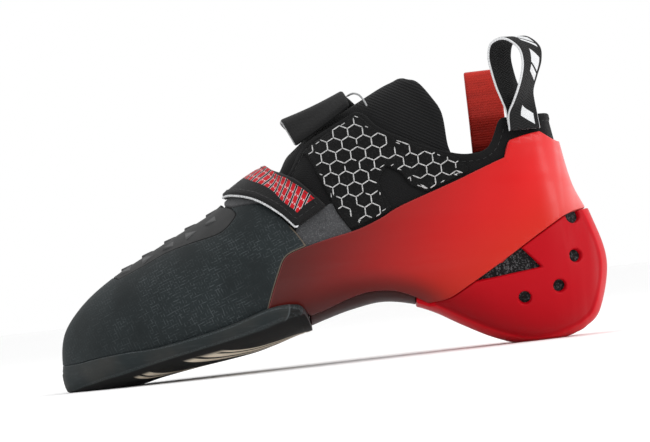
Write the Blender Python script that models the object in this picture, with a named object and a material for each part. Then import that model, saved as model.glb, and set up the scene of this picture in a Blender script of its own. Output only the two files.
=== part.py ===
"""Climbing shoe, left foot, one shoe standing empty on its toe and heel.

Units are metres, +Z is up, the toe points to -X and the outer (little toe) side faces -Y.
The origin is the middle of the flat spot under the heel.

Everything that follows the foot is cut out of one form, the last: a closed skin through the
rows of SECTIONS, which can be grown or shrunk along its normals. The upper is the shell between
two such skins, and each rubber or textile overlay is a shell a little further out, cut to its
outline as seen from the side.
"""

import math
from collections import namedtuple

import bmesh
import bpy
import numpy as np
from mathutils import Vector

# Named sizes of the last
LAST_LENGTH = 0.2404
BALL_WIDTH = 0.0846
INSTEP_HEIGHT = 0.1235
HEEL_SHARE = 0.88

# Walls and clearances
CLEARANCE = 0.0003
UPPER_WALL = 0.0018
INSOLE_THICKNESS = 0.0016
TONGUE_THICKNESS = 0.0024
RAND_THICKNESS = 0.0016
BAND_THICKNESS = 0.0018
CUP_THICKNESS = 0.0020
ARCH_THICKNESS = 0.0018
MESH_THICKNESS = 0.0009
STRAP_BASE_THICKNESS = 0.0015
STRAP_THICKNESS = 0.0026
SOLE_THICKNESS = 0.0040
SOLE_WALL = 0.0023
SOLE_SQUARENESS = 4.6

# Details with sizes of their own
STUD_SIZE = 0.0075
STUD_HEIGHT = 0.0013
CUP_HOLE_RADIUS = 0.0027
WEBBING_WIDTH = 0.0150
WEBBING_THICKNESS = 0.0014
TAB_WIDTH = 0.0160
CUTTER_REACH = 0.090
CUTTER_DROP = 0.010
LASTING_MARGIN = 0.36
LASTING_RISE = 0.006
INSOLE_SPREAD = 1.2
INSOLE_RISE = 0.0055
STRAP_SEAT = 1.25

# Facets of the skin: angles in degrees from the crown down to the middle of the underside
RING_ANGLES = (0, 20, 40, 59, 77, 93, 108, 121, 133, 147, 163, 180)

# Sections of the last from toe to heel. along is in per cent of LAST_LENGTH; under, over and
# widest are heights in per cent of INSTEP_HEIGHT; swing, half, lift and lean are in per cent of
# BALL_WIDTH. swing moves the section to the inner side, half is its half width, lift raises the
# outer edge of the underside and lean moves the crown to the inner side. low and top are the
# squareness of the lower and upper halves, where 2 is an ellipse.
Section = namedtuple("Section", "along under over widest swing half lift lean low top")
SECTIONS = [Section(*row) for row in (
    (0.0, 8.9, 8.9, 8.9, 22.0, 0.0, 0.0, 0.0, 2.2, 2.0),
    (0.3, 3.4, 16.5, 9.2, 21.8, 6.0, 0.4, 0.2, 2.3, 2.0),
    (1.4, 2.5, 22.3, 10.1, 21.0, 12.0, 1.2, 0.5, 2.4, 2.0),
    (3.9, 2.4, 28.2, 10.5, 18.5, 20.5, 3.0, 1.5, 2.6, 2.0),
    (7.2, 2.6, 33.6, 11.7, 14.5, 28.5, 4.2, 3.0, 2.8, 2.0),
    (11.8, 3.0, 39.2, 13.8, 10.5, 36.5, 5.2, 4.5, 2.9, 2.0),
    (17.6, 5.3, 44.9, 16.2, 6.5, 43.5, 4.2, 6.0, 3.0, 2.0),
    (23.9, 7.3, 50.9, 19.0, 3.4, 48.2, 4.2, 7.5, 3.0, 2.0),
    (30.1, 8.9, 56.8, 21.5, 1.2, 50.0, 5.2, 7.5, 3.0, 2.0),
    (35.1, 10.4, 63.6, 23.9, -0.2, 49.3, 6.5, 6.5, 3.0, 2.0),
    (39.3, 12.5, 68.2, 26.7, -0.9, 47.8, 7.5, 6.0, 3.0, 2.0),
    (43.0, 14.7, 70.6, 29.1, -1.3, 45.9, 7.5, 5.0, 3.0, 2.0),
    (45.5, 15.7, 76.0, 31.2, -1.5, 44.6, 6.0, 4.5, 3.0, 2.0),
    (48.4, 17.4, 82.5, 33.2, -1.7, 43.0, 4.0, 4.0, 3.0, 2.0),
    (53.4, 19.9, 88.0, 36.0, -1.8, 40.5, 2.0, 3.0, 3.0, 2.0),
    (59.2, 21.5, 93.5, 37.7, -1.7, 38.1, 0.5, 2.0, 3.0, 2.0),
    (64.6, 19.8, 98.5, 37.2, -1.3, 36.1, 0.0, 1.5, 2.8, 2.0),
    (69.2, 16.2, 100.5, 35.6, -0.9, 35.2, 0.0, 1.0, 2.6, 2.0),
    (74.2, 10.4, 102.5, 32.4, -0.6, 35.0, 0.0, 0.5, 2.4, 2.1),
    (79.6, 4.8, 104.0, 29.6, -0.2, 35.5, 0.0, 0.0, 2.3, 2.1),
    (85.0, 1.3, 104.0, 27.5, 0.0, 35.0, 0.0, 0.0, 2.3, 2.1),
    (89.6, 1.2, 102.0, 26.3, 0.0, 32.9, 0.0, 0.0, 2.3, 1.9),
    (92.3, 2.5, 96.0, 25.5, 0.0, 30.3, 0.0, 0.0, 2.2, 1.7),
    (93.7, 3.4, 76.0, 25.1, 0.0, 28.6, 0.0, 0.0, 2.1, 1.6),
    (95.5, 5.0, 55.0, 25.1, 0.0, 25.4, 0.0, 0.0, 2.0, 1.8),
    (98.0, 10.0, 42.1, 25.5, 0.0, 17.7, 0.0, 0.0, 2.0, 2.0),
    (100.0, 25.7, 25.7, 25.7, 0.0, 0.0, 0.0, 0.0, 2.0, 2.0),
)]

# Outlines seen from the side: per cent of LAST_LENGTH from the toe, per cent of INSTEP_HEIGHT up
SOLE_EDGE = [(-6, 10.0), (1.4, 10.2), (5.6, 11.3), (11.7, 12.3), (17.6, 12.6), (26.0, 15.0),
             (32.2, 17.6), (38.5, 21.3)]
SOLE_END = [(42.1, 21.9), (44.3, 21.1), (45.4, 18.6), (46.0, 13.0)]
BAND_FRONT = [(40.0, 28.6), (41.3, 34.3), (42.4, 38.5), (43.8, 40.6), (46.8, 42.4)]
CAP_REAR = [(44.6, 49.1), (40.1, 59.0), (37.5, 59.4), (33.9, 59.0)]
PATCH_EDGE = [(34.7, 56.7), (34.0, 54.4), (32.3, 51.4), (30.2, 49.7), (25.6, 48.0), (21.0, 45.7),
              (16.4, 41.9), (11.7, 38.4), (8.9, 40.5)]
BAND_TOP = [(51.2, 44.4), (56.4, 46.4), (60.7, 49.4), (64.6, 53.0), (74.0, 59.0), (81.9, 64.4),
            (84.2, 65.8), (84.9, 69.6), (85.4, 71.7), (88.4, 73.1), (91.3, 73.9), (93.2, 71.2),
            (94.5, 70.0)]
BAND_FOOT = [(46.1, 17.6), (49.7, 19.6), (53.4, 22.0), (57.2, 23.6), (61.3, 23.2), (64.6, 20.8)]
CUP_TOP = [(67.7, 17.2), (71.1, 18.0), (73.8, 20.4), (81.4, 28.9), (91.1, 39.8), (95.0, 43.6),
           (98.4, 45.0)]
CUP_WINDOW = [(85.2, 33.6), (88.7, 25.9), (76.6, 23.2)]
CUP_HOLES = [(95.2, 28.5), (91.6, 18.4), (85.0, 15.5)]
THROAT = [(41.5, 66.0), (43.8, 66.8), (46.0, 72.0), (48.4, 78.4), (53.4, 83.6), (58.4, 88.2),
          (60.1, 86.6), (61.5, 83.0), (63.7, 79.7), (68.0, 75.3), (73.0, 70.9), (76.7, 68.6),
          (80.0, 68.5), (81.7, 70.4), (82.9, 74.5), (83.8, 79.4), (84.6, 81.4), (91.3, 81.8)]
MESH_OUTLINE = [(47.6, 75.6), (48.6, 74.4), (49.4, 71.4), (50.5, 65.7), (52.0, 58.2), (53.1, 52.6),
                (55.0, 46.5), (60.7, 50.0), (63.0, 52.1), (61.1, 61.6), (62.7, 67.4), (65.3, 64.2),
                (66.6, 60.3), (69.4, 56.7), (78.1, 62.5), (75.7, 67.4), (73.1, 69.8), (67.8, 74.3),
                (63.4, 78.6), (61.0, 82.0), (59.3, 86.0), (58.2, 87.0), (53.4, 82.6)]
STRAP_BASE = [(32.2, 78.0), (32.4, 60.6), (34.2, 59.6), (37.5, 60.0), (40.3, 59.6), (43.2, 53.6),
              (46.6, 57.0), (43.0, 65.0), (40.8, 65.6), (40.6, 78.0)]
FRONT_STRAP = [(31.4, 64.1), (33.6, 64.5), (37.8, 62.1), (41.8, 56.8), (45.2, 49.7), (51.3, 56.0),
               (46.8, 65.7), (43.8, 69.6), (41.3, 73.0), (38.6, 80.0), (31.4, 80.0)]
FRONT_STRAP_INNER = [(31.4, 64.1), (33.6, 64.5), (37.8, 62.1), (43.8, 54.0), (49.0, 44.5),
                     (56.0, 49.0), (49.0, 62.5), (44.8, 69.0), (41.3, 73.0), (38.6, 80.0),
                     (31.4, 80.0)]
TONGUE_OUTLINE = [(40.8, 100.0), (40.8, 58.0), (46.0, 64.0), (52.0, 71.0), (58.0, 76.0),
                  (64.0, 70.0), (70.0, 64.5), (75.0, 62.0), (75.6, 66.0), (74.4, 72.0),
                  (74.0, 84.0), (72.4, 90.8), (70.2, 97.1), (68.0, 99.2), (66.0, 108.0),
                  (50.0, 108.0)]

# Front and rear edges of the upper strap, outer side first: per cent of LAST_LENGTH, degrees from
# the crown (outer side positive), and how far it stands off the last besides its seat, in per cent
# of INSTEP_HEIGHT
StrapRow = namedtuple("StrapRow", "front_along front_turn front_gap rear_along rear_turn rear_gap")
UPPER_STRAP = [StrapRow(*row) for row in (
    (49.0, 24, 0.0, 57.8, 17, 0.0),
    (47.0, 15, 5.0, 57.0, 10, 1.5),
    (45.2, 5, 11.5, 56.2, 3, 3.2),
    (45.0, -6, 12.0, 56.2, -5, 3.4),
    (46.4, -17, 7.0, 57.2, -14, 2.0),
    (48.6, -28, 2.0, 58.8, -25, 0.5),
    (50.8, -40, 0.0, 60.6, -37, 0.0),
    (52.8, -52, 0.0, 62.4, -49, 0.0),
)]

# Middle line of a webbing: per cent of LAST_LENGTH, distance out from the flank of the last in per
# cent of BALL_WIDTH, per cent of INSTEP_HEIGHT, and the direction of its width in degrees from the
# length of the shoe. Above COLLAR_TOP the distance is measured from the flank at that height.
COLLAR_TOP = 81.8
WebRow = namedtuple("WebRow", "along off up turn")
PULL_LOOP = [WebRow(*row) for row in (
    (88.5, 4.2, 74.8, 22),
    (88.5, 4.4, 80.5, 30),
    (88.9, 6.2, 84.5, 48),
    (89.4, 8.6, 88.6, 60),
    (90.4, 10.4, 93.6, 60),
    (91.2, 10.4, 98.6, 54),
    (91.0, 7.6, 103.6, 48),
    (88.8, 3.0, 107.4, 45),
    (86.4, -2.0, 106.4, 45),
    (85.6, -5.0, 102.0, 46),
    (85.8, -5.6, 96.6, 47),
    (86.4, -3.8, 90.6, 46),
    (87.4, -0.8, 85.6, 38),
    (88.2, 1.6, 81.6, 28),
    (88.5, 2.0, 74.8, 22),
)]
PULL_TAB = [WebRow(*row) for row in (
    (82.6, -4.6, 62.0, -3),
    (82.6, -4.8, 70.0, -4),
    (82.6, -4.8, 80.0, -5),
    (82.6, -3.8, 90.0, -5),
    (82.6, -4.4, 96.6, -5),
    (82.6, -6.0, 98.2, -5),
    (82.6, -7.6, 96.6, -5),
    (82.6, -7.8, 90.0, -5),
    (82.6, -7.4, 80.0, -5),
    (82.6, -7.4, 70.0, -4),
)]

# Studs on the toe patch: per cent of LAST_LENGTH, degrees from the crown (outer side positive),
# and the direction of their point in degrees
STUD_ROWS = [(13.6, 16), (17.8, 20), (22.0, 22), (26.2, 24), (30.3, 24)]

# Colours, roughness and metallic value of each piece
FINISHES = {
    "upper": ((0.022, 0.022, 0.024), 0.85),
    "insole": ((0.045, 0.045, 0.048), 0.90),
    "tongue": ((0.020, 0.020, 0.022), 0.90),
    "toe_rand": ((0.030, 0.034, 0.040), 0.62),
    "toe_hook_patch": ((0.026, 0.029, 0.034), 0.60),
    "outsole": ((0.018, 0.020, 0.023), 0.60),
    "arch_rand": ((0.110, 0.012, 0.012), 0.42),
    "tension_band": ((0.560, 0.026, 0.020), 0.30),
    "heel_cup": ((0.480, 0.006, 0.018), 0.45),
    "outer_quarter_mesh": ((0.016, 0.016, 0.017), 0.80),
    "inner_quarter_mesh": ((0.016, 0.016, 0.017), 0.80),
    "strap_base": ((0.060, 0.062, 0.068), 0.88),
    "front_strap": ((0.015, 0.015, 0.016), 0.75),
    "upper_strap": ((0.018, 0.018, 0.019), 0.80),
    "pull_loop": ((0.020, 0.021, 0.023), 0.80),
    "pull_tab": ((0.430, 0.030, 0.028), 0.60),
}

PER_CENT = 0.01


def clear_scene():
    """Remove whatever the file holds, so that the model stands alone."""
    for item in list(bpy.data.objects):
        bpy.data.objects.remove(item, do_unlink=True)


def finish_of(name):
    """Principled material in the colour of the named piece."""
    colour, roughness = FINISHES[name]
    material = bpy.data.materials.new(name)
    material.use_nodes = True
    shader = material.node_tree.nodes["Principled BSDF"]
    shader.inputs["Base Color"].default_value = (*colour, 1.0)
    shader.inputs["Roughness"].default_value = roughness
    shader.inputs["Metallic"].default_value = 0.0
    return material


def along_at(per_cent):
    """X of a place given in per cent of the last's length from the toe."""
    return (per_cent * PER_CENT - HEEL_SHARE) * LAST_LENGTH


def side_at(per_cent):
    """Y of a place given in per cent of the ball width, inner side positive."""
    return per_cent * PER_CENT * BALL_WIDTH


def up_at(per_cent):
    """Z of a place given in per cent of the instep height."""
    return per_cent * PER_CENT * INSTEP_HEIGHT


def section_at(place):
    """Row of SECTIONS at a fractional index, through a Catmull-Rom curve."""
    last = len(SECTIONS) - 1
    index = min(int(place), last - 1)
    share = place - index
    table = np.array(SECTIONS)
    before = table[index - 1] if index > 0 else mirrored(table[1])
    after = table[index + 2] if index + 2 <= last else mirrored(table[last - 1])
    start, end = table[index], table[index + 1]
    row = 0.5 * (2 * start + (end - before) * share
                 + (2 * before - 5 * start + 4 * end - after) * share ** 2
                 + (3 * start - before - 3 * end + after) * share ** 3)
    return Section(*row)


def mirrored(row):
    """Ghost row past an end of the last, which makes that end close as a round cap."""
    row = Section(*row)
    return np.array(row._replace(under=row.over, over=row.under, half=-row.half))


def skin_point(place, degrees, squareness=None):
    """Point of the last's own surface; degrees run from the crown, outer side positive."""
    row = section_at(place)
    turn = math.radians(degrees)
    outward, upward = math.sin(turn), math.cos(turn)
    power = row.top if upward > 0 else (squareness or row.low)
    reach = (abs(outward) ** power + abs(upward) ** power) ** (-1.0 / power)
    across, rise = outward * reach, upward * reach
    height = row.over - row.widest if rise > 0 else row.widest - row.under
    tilt = max(0.0, (across + 0.3) / 1.3) ** 2.4 * (1.0 - max(0.0, rise)) ** 2
    side = row.swing - across * row.half + row.lean * max(0.0, rise) ** 2
    up = up_at(row.widest + height * rise) + side_at(row.lift * tilt)
    return Vector((along_at(row.along), side_at(side), up))


def skin_normal(place, degrees, squareness=None):
    """Unit normal of the last's surface, by differences along and around it."""
    last = len(SECTIONS) - 1
    if place <= 0.0:
        return Vector((-1.0, 0.0, 0.0))
    if place >= last:
        return Vector((1.0, 0.0, 0.0))
    step, swing = 0.04, 2.0
    ahead = skin_point(min(place + step, last), degrees, squareness)
    behind = skin_point(max(place - step, 0.0), degrees, squareness)
    left = skin_point(place, degrees + swing, squareness)
    right = skin_point(place, degrees - swing, squareness)
    return (left - right).cross(ahead - behind).normalized()


def grown_point(place, degrees, side, down, squareness=None):
    """Point of the last grown by side at its flanks and by down at its underside."""
    normal = skin_normal(place, degrees, squareness)
    facing_down = max(0.0, -normal.z) ** 2
    growth = side + (down - side) * facing_down
    return skin_point(place, degrees, squareness) + normal * growth


def ring_angles():
    """Whole ring of angles: down the outer side, then up the inner side."""
    inner = [-angle for angle in RING_ANGLES[-2:0:-1]]
    return list(RING_ANGLES) + inner


def add_skin(mesh, side, down, squareness, inward):
    """Add the closed skin grown by side and down to a bmesh."""
    angles = ring_angles()
    last = len(SECTIONS) - 1
    rings = []
    for place in range(1, last):
        points = [grown_point(place, angle, side, down, squareness) for angle in angles]
        rings.append([mesh.verts.new(point) for point in points])
    toe = mesh.verts.new(grown_point(0, 90, side, down, squareness))
    heel = mesh.verts.new(grown_point(last, 90, side, down, squareness))
    faces = []
    count = len(angles)
    for number in range(count):
        following = (number + 1) % count
        faces.append((toe, rings[0][number], rings[0][following]))
        faces.append((heel, rings[-1][following], rings[-1][number]))
        for ring, ahead in zip(rings, rings[1:]):
            faces.append((ring[number], ahead[number], ahead[following], ring[following]))
    for face in faces:
        mesh.faces.new(face[::-1] if inward else face)


def shell_mesh(name, inner, outer, outer_down=None, squareness=None):
    """Hollow closed mesh between the last grown by inner and by outer."""
    mesh = bmesh.new()
    add_skin(mesh, outer, outer if outer_down is None else outer_down, squareness, inward=False)
    add_skin(mesh, inner, inner, None, inward=True)
    return finished_mesh(mesh, name)


def finished_mesh(mesh, name):
    """Turn a bmesh into a triangulated mesh."""
    bmesh.ops.triangulate(mesh, faces=mesh.faces[:])
    data = bpy.data.meshes.new(name)
    mesh.to_mesh(data)
    mesh.free()
    return data


def closed_mesh(mesh, name):
    """Turn a bmesh of one closed surface into a mesh whose faces point out."""
    bmesh.ops.recalc_face_normals(mesh, faces=mesh.faces[:])
    return finished_mesh(mesh, name)


def add_object(name, data):
    """Put a mesh into the scene."""
    item = bpy.data.objects.new(name, data)
    bpy.context.scene.collection.objects.link(item)
    return item


def add_cutter(name, data):
    """Put a mesh into the scene as a guide that isn't rendered."""
    item = add_object(name, data)
    item.hide_render = True
    item.display_type = "WIRE"
    return item


def cut(item, cutter, operation):
    """Boolean of one object with a cutter."""
    modifier = item.modifiers.new(cutter.name, "BOOLEAN")
    modifier.operation = operation
    modifier.solver = "EXACT"
    modifier.object = cutter


def add_piece(name, data, crease_degrees=40):
    """One named sub-part with its own material, shaded smooth."""
    item = add_object(name, data)
    item.data.materials.append(finish_of(name))
    item.data.shade_smooth()
    item.data.set_sharp_from_angle(angle=math.radians(crease_degrees))
    return item


def inset(points, by):
    """Outline drawn in by a distance; its points on the floor line stay there."""
    count = len(points)
    area = sum(points[n][0] * points[(n + 1) % count][1] - points[(n + 1) % count][0] * points[n][1]
               for n in range(count))
    sign = 1.0 if area > 0 else -1.0
    drawn = []
    for number in range(count):
        here = Vector(points[number])
        arrive = (here - Vector(points[number - 1])).normalized()
        leave = (Vector(points[(number + 1) % count]) - here).normalized()
        normal = Vector((-arrive.y, arrive.x)) + Vector((-leave.y, leave.x))
        normal = normal.normalized() * sign
        spread = max(0.5, normal.dot(Vector((-leave.y, leave.x)) * sign))
        moved = here + normal * (by / spread)
        drawn.append((moved.x, 0.0 if here.y == 0.0 else moved.y))
    return drawn


def outline(points, by=CLEARANCE / 2):
    """Side outline in metres from per cent pairs, drawn in by half a clearance."""
    return inset([(along_at(along), up_at(up)) for along, up in points], by)


def slab_mesh(name, outer_side, inner_side=None, from_side=-CUTTER_REACH, to_side=CUTTER_REACH):
    """Prism across the shoe; its outline may change from the middle to the inner side."""
    inner_side = inner_side or outer_side
    mesh = bmesh.new()
    middle = 0.5 * (from_side + to_side)
    layers = []
    for side, points in ((from_side, outer_side), (middle, outer_side), (to_side, inner_side)):
        layers.append([mesh.verts.new((along, side, up)) for along, up in points])
    mesh.faces.new(layers[0])
    mesh.faces.new(layers[-1][::-1])
    count = len(outer_side)
    for near, far in zip(layers, layers[1:]):
        for number in range(count):
            following = (number + 1) % count
            mesh.faces.new((near[following], near[number], far[number], far[following]))
    return closed_mesh(mesh, name)


def loft_mesh(name, rings):
    """Closed body through rings of equal count, capped at both ends."""
    mesh = bmesh.new()
    layers = [[mesh.verts.new(point) for point in ring] for ring in rings]
    mesh.faces.new(layers[0])
    mesh.faces.new(layers[-1][::-1])
    count = len(rings[0])
    for near, far in zip(layers, layers[1:]):
        for number in range(count):
            following = (number + 1) % count
            mesh.faces.new((near[following], near[number], far[number], far[following]))
    return closed_mesh(mesh, name)


def along_skin(name, width_share, below, above, first=3, last=-3):
    """Cutter that follows the underside, between below and above the section's lowest height."""
    rings = []
    for row in SECTIONS[first:last]:
        half = side_at(row.half) * width_share
        middle = side_at(row.swing)
        low, high = up_at(row.under) - below, up_at(row.under) + above
        along = along_at(row.along)
        rings.append([(along, middle - half, low), (along, middle + half, low),
                      (along, middle + half, high), (along, middle - half, high)])
    return loft_mesh(name, rings)


def make_upper():
    """Textile upper: one shell, open at throat and collar and along the lasting margin."""
    upper = add_piece("upper", shell_mesh("upper", -UPPER_WALL, 0.0))
    above_collar = [(96.5, 81.8), (96.5, 130.0), (41.5, 130.0)]
    opening = slab_mesh("collar_opening", outline(THROAT + above_collar, 0))
    cut(upper, add_cutter("collar_opening", opening), "DIFFERENCE")
    foot = along_skin("lasting_opening", 1.0 - LASTING_MARGIN, CUTTER_DROP, LASTING_RISE)
    cut(upper, add_cutter("lasting_opening", foot), "DIFFERENCE")
    return upper


def make_insole():
    """Insole that lies on the lasting margin inside the upper."""
    top = -UPPER_WALL - CLEARANCE
    insole = add_piece("insole", shell_mesh("insole", top - INSOLE_THICKNESS, top))
    bed = along_skin("insole_bed", INSOLE_SPREAD, CUTTER_DROP, INSOLE_RISE, first=2, last=-1)
    cut(insole, add_cutter("insole_bed", bed), "INTERSECT")
    return insole


def make_tongue():
    """Knitted tongue: half a sock tucked inside the throat and rising over the instep."""
    top = -UPPER_WALL - CLEARANCE
    tongue = add_piece("tongue", shell_mesh("tongue", top - TONGUE_THICKNESS, top))
    cutter = add_cutter("tongue_outline", slab_mesh("tongue_outline", outline(TONGUE_OUTLINE, 0)))
    cut(tongue, cutter, "INTERSECT")
    return tongue


def make_overlay(name, thickness, points, inner_points=None, start=CLEARANCE,
                 from_side=-CUTTER_REACH, to_side=CUTTER_REACH):
    """Overlay cut out of a shell that starts just off the upper."""
    piece = add_piece(name, shell_mesh(name, start, start + thickness))
    inner = outline(inner_points) if inner_points else None
    slab = slab_mesh(name + "_outline", outline(points), inner, from_side, to_side)
    cut(piece, add_cutter(name + "_outline", slab), "INTERSECT")
    return piece


def make_outsole():
    """Half sole under the forefoot, with its wall rolled up the sides and a flat spot."""
    outsole = add_piece("outsole", shell_mesh("outsole", CLEARANCE, CLEARANCE + SOLE_WALL,
                                              CLEARANCE + SOLE_THICKNESS, SOLE_SQUARENESS))
    points = SOLE_EDGE + SOLE_END + [(46.0, 0.0), (-6, 0.0)]
    cutter = add_cutter("outsole_outline", slab_mesh("outsole_outline", outline(points)))
    cut(outsole, cutter, "INTERSECT")
    return outsole


def make_toe_rand():
    """Rubber cap round the toe, from the sole's edge up to the patch and back to the band."""
    points = (SOLE_EDGE + BAND_FRONT + CAP_REAR + PATCH_EDGE + [(8.9, 70.0), (-6, 70.0)])
    return make_overlay("toe_rand", RAND_THICKNESS, points)


def make_toe_hook_patch():
    """Thin patch over the toes with rows of pointed studs."""
    points = PATCH_EDGE[::-1] + [(33.9, 59.0), (32.0, 60.2), (31.9, 75.0), (8.9, 75.0)]
    patch = make_overlay("toe_hook_patch", RAND_THICKNESS, points)
    studs = bmesh.new()
    for along, spread in STUD_ROWS:
        for degrees in (-spread, 0, spread):
            add_stud(studs, along, degrees)
    cut(patch, add_cutter("toe_studs", closed_mesh(studs, "toe_studs")), "UNION")
    return patch


def place_of(per_cent):
    """Fractional row of SECTIONS that lies at a share of the length."""
    for index in range(len(SECTIONS) - 1):
        start, end = SECTIONS[index].along, SECTIONS[index + 1].along
        if start <= per_cent <= end:
            return index + (per_cent - start) / (end - start)
    return len(SECTIONS) - 1.0


def add_stud(mesh, along, degrees):
    """One three-sided stud that stands on the patch with its point to the toe."""
    place = place_of(along)
    base = CLEARANCE + RAND_THICKNESS
    normal = skin_normal(place, degrees)
    middle = skin_point(place, degrees) + normal * base
    ahead = (skin_point(place - 0.3, degrees) - skin_point(place + 0.3, degrees)).normalized()
    across = normal.cross(ahead)
    corners = ((0.62, 0.0), (-0.38, 0.5), (-0.38, -0.5))
    sunk = normal * (0.5 * RAND_THICKNESS)
    low = [mesh.verts.new(middle + (ahead * x + across * y) * STUD_SIZE - sunk) for x, y in corners]
    shrink = 0.45
    crest = normal * STUD_HEIGHT
    high = [mesh.verts.new(middle + (ahead * x + across * y) * STUD_SIZE * shrink + crest)
            for x, y in corners]
    mesh.faces.new(low)
    mesh.faces.new(high[::-1])
    for number in range(3):
        following = (number + 1) % 3
        mesh.faces.new((low[following], low[number], high[number], high[following]))


def make_tension_band():
    """Band that runs from the toe cap along both sides and round the back of the heel."""
    points = (SOLE_EDGE[-1:] + BAND_FRONT + BAND_TOP + [(103.0, 70.0), (103.0, 46.0)]
              + CUP_TOP[::-1] + BAND_FOOT[::-1] + SOLE_END[2::-1])
    return make_overlay("tension_band", BAND_THICKNESS, points)


def make_arch_rand():
    """Rubber under the arch, between the half sole and the heel cup."""
    points = [(46.0, 13.0), (45.9, 17.0)] + BAND_FOOT + [(65.4, 19.0), (65.4, 6.0), (46.0, 6.0)]
    return make_overlay("arch_rand", ARCH_THICKNESS, points)


def make_heel_cup():
    """Moulded heel with a window and round holes on each side and a flat spot to stand on."""
    points = ([(65.4, 19.3)] + CUP_TOP + [(103.0, 46.0), (103.0, 0.0), (65.4, 0.0)])
    cup = make_overlay("heel_cup", CUP_THICKNESS, points)
    window = slab_mesh("cup_window", outline(CUP_WINDOW, 0))
    cut(cup, add_cutter("cup_window", window), "DIFFERENCE")
    for number, (along, up) in enumerate(CUP_HOLES):
        bpy.ops.mesh.primitive_cylinder_add(vertices=8, radius=CUP_HOLE_RADIUS,
                                            depth=2 * CUTTER_REACH, rotation=(math.pi / 2, 0, 0),
                                            location=(along_at(along), 0, up_at(up)))
        hole = bpy.context.active_object
        hole.name = "cup_hole_%d" % number
        hole.hide_render = True
        hole.display_type = "WIRE"
        cut(cup, hole, "DIFFERENCE")
    return cup


def make_quarter_meshes():
    """Mesh overlays with two legs, one on each side of the instep."""
    make_overlay("outer_quarter_mesh", MESH_THICKNESS, MESH_OUTLINE, to_side=0.0)
    make_overlay("inner_quarter_mesh", MESH_THICKNESS, MESH_OUTLINE, from_side=0.0)


def make_front_strap():
    """Closure strap over the toes' end of the instep, and the pad that it fastens on."""
    make_overlay("strap_base", STRAP_BASE_THICKNESS, STRAP_BASE)
    start = CLEARANCE + max(STRAP_BASE_THICKNESS, BAND_THICKNESS) + CLEARANCE
    return make_overlay("front_strap", STRAP_THICKNESS, FRONT_STRAP, FRONT_STRAP_INNER, start)


def smooth_rows(rows, steps):
    """Catmull-Rom curve through table rows, with steps points between two rows."""
    table = np.array(rows, dtype=float)
    padded = np.vstack([2 * table[0] - table[1], table, 2 * table[-1] - table[-2]])
    result = []
    for index in range(1, len(padded) - 2):
        before, start, end, after = padded[index - 1:index + 3]
        for step in range(steps):
            share = step / steps
            result.append(0.5 * (2 * start + (end - before) * share
                                 + (2 * before - 5 * start + 4 * end - after) * share ** 2
                                 + (3 * start - before - 3 * end + after) * share ** 3))
    result.append(table[-1])
    return result


def ribbon_mesh(name, edges, thickness):
    """Flat strip between two edge lines, given the thickness across its face."""
    rings = []
    count = len(edges)
    for number, (front, rear) in enumerate(edges):
        ahead = edges[min(number + 1, count - 1)]
        behind = edges[max(number - 1, 0)]
        run = (ahead[0] + ahead[1]) - (behind[0] + behind[1])
        normal = run.cross(rear - front).normalized() * (0.5 * thickness)
        rings.append([front + normal, rear + normal, rear - normal, front - normal])
    return loft_mesh(name, rings)


def stood_off(along, degrees, gap):
    """Point straight out from the last in its own section, by a distance."""
    place = place_of(along)
    row = section_at(place)
    point = skin_point(place, degrees)
    out = point - Vector((point.x, side_at(row.swing), up_at(row.widest)))
    return point + out.normalized() * gap


def make_upper_strap():
    """Closure strap that arches over the tongue from the inner to the outer side."""
    seat = CLEARANCE + MESH_THICKNESS + CLEARANCE + 0.5 * STRAP_THICKNESS
    seat *= STRAP_SEAT
    edges = []
    for row in smooth_rows(UPPER_STRAP, 2):
        row = StrapRow(*row)
        front = stood_off(row.front_along, row.front_turn, seat + up_at(row.front_gap))
        rear = stood_off(row.rear_along, row.rear_turn, seat + up_at(row.rear_gap))
        edges.append((front, rear))
    return add_piece("upper_strap", ribbon_mesh("upper_strap", edges, STRAP_THICKNESS))


def flank_at(along, up):
    """Half width of the last at a height above its widest line, in per cent of BALL_WIDTH."""
    row = section_at(place_of(along))
    rise = min(1.0, (up - row.widest) / (row.over - row.widest))
    return row.half * (1.0 - rise ** row.top) ** (1.0 / row.top)


def make_webbing(name, rows, width, direction, steps=2):
    """Webbing swept along its middle line, on the outer (-1) or the inner (1) side."""
    edges = []
    for row in smooth_rows(rows, steps):
        row = WebRow(*row)
        side = direction * (flank_at(row.along, min(row.up, COLLAR_TOP)) + row.off)
        middle = Vector((along_at(row.along), side_at(side), up_at(row.up)))
        turn = math.radians(row.turn)
        half = Vector((math.cos(turn), math.sin(turn), 0.0)) * (0.5 * width)
        edges.append((middle - half, middle + half))
    return add_piece(name, ribbon_mesh(name, edges, WEBBING_THICKNESS))


def main():
    """Build the whole shoe."""
    clear_scene()
    make_upper()
    make_insole()
    make_tongue()
    make_outsole()
    make_toe_rand()
    make_toe_hook_patch()
    make_arch_rand()
    make_tension_band()
    make_heel_cup()
    make_quarter_meshes()
    make_front_strap()
    make_upper_strap()
    make_webbing("pull_loop", PULL_LOOP, WEBBING_WIDTH, -1)
    make_webbing("pull_tab", PULL_TAB, TAB_WIDTH, 1)


main()
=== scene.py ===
"""Climbing shoe, left foot: the finish of every surface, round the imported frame.

The file is laid out as an add-on and is run as a script. Units are metres, the toe points to -X,
the outer side faces -Y. Every piece that follows the foot is a patch of one form, the last. A
patch is cut along a distance field, which also gives its rounded edges, rims and piping.
"""

import math
from collections import namedtuple

import bmesh
import bpy
import numpy as np
from bpy.props import FloatProperty, FloatVectorProperty, PointerProperty
from mathutils import Matrix, Vector


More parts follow.
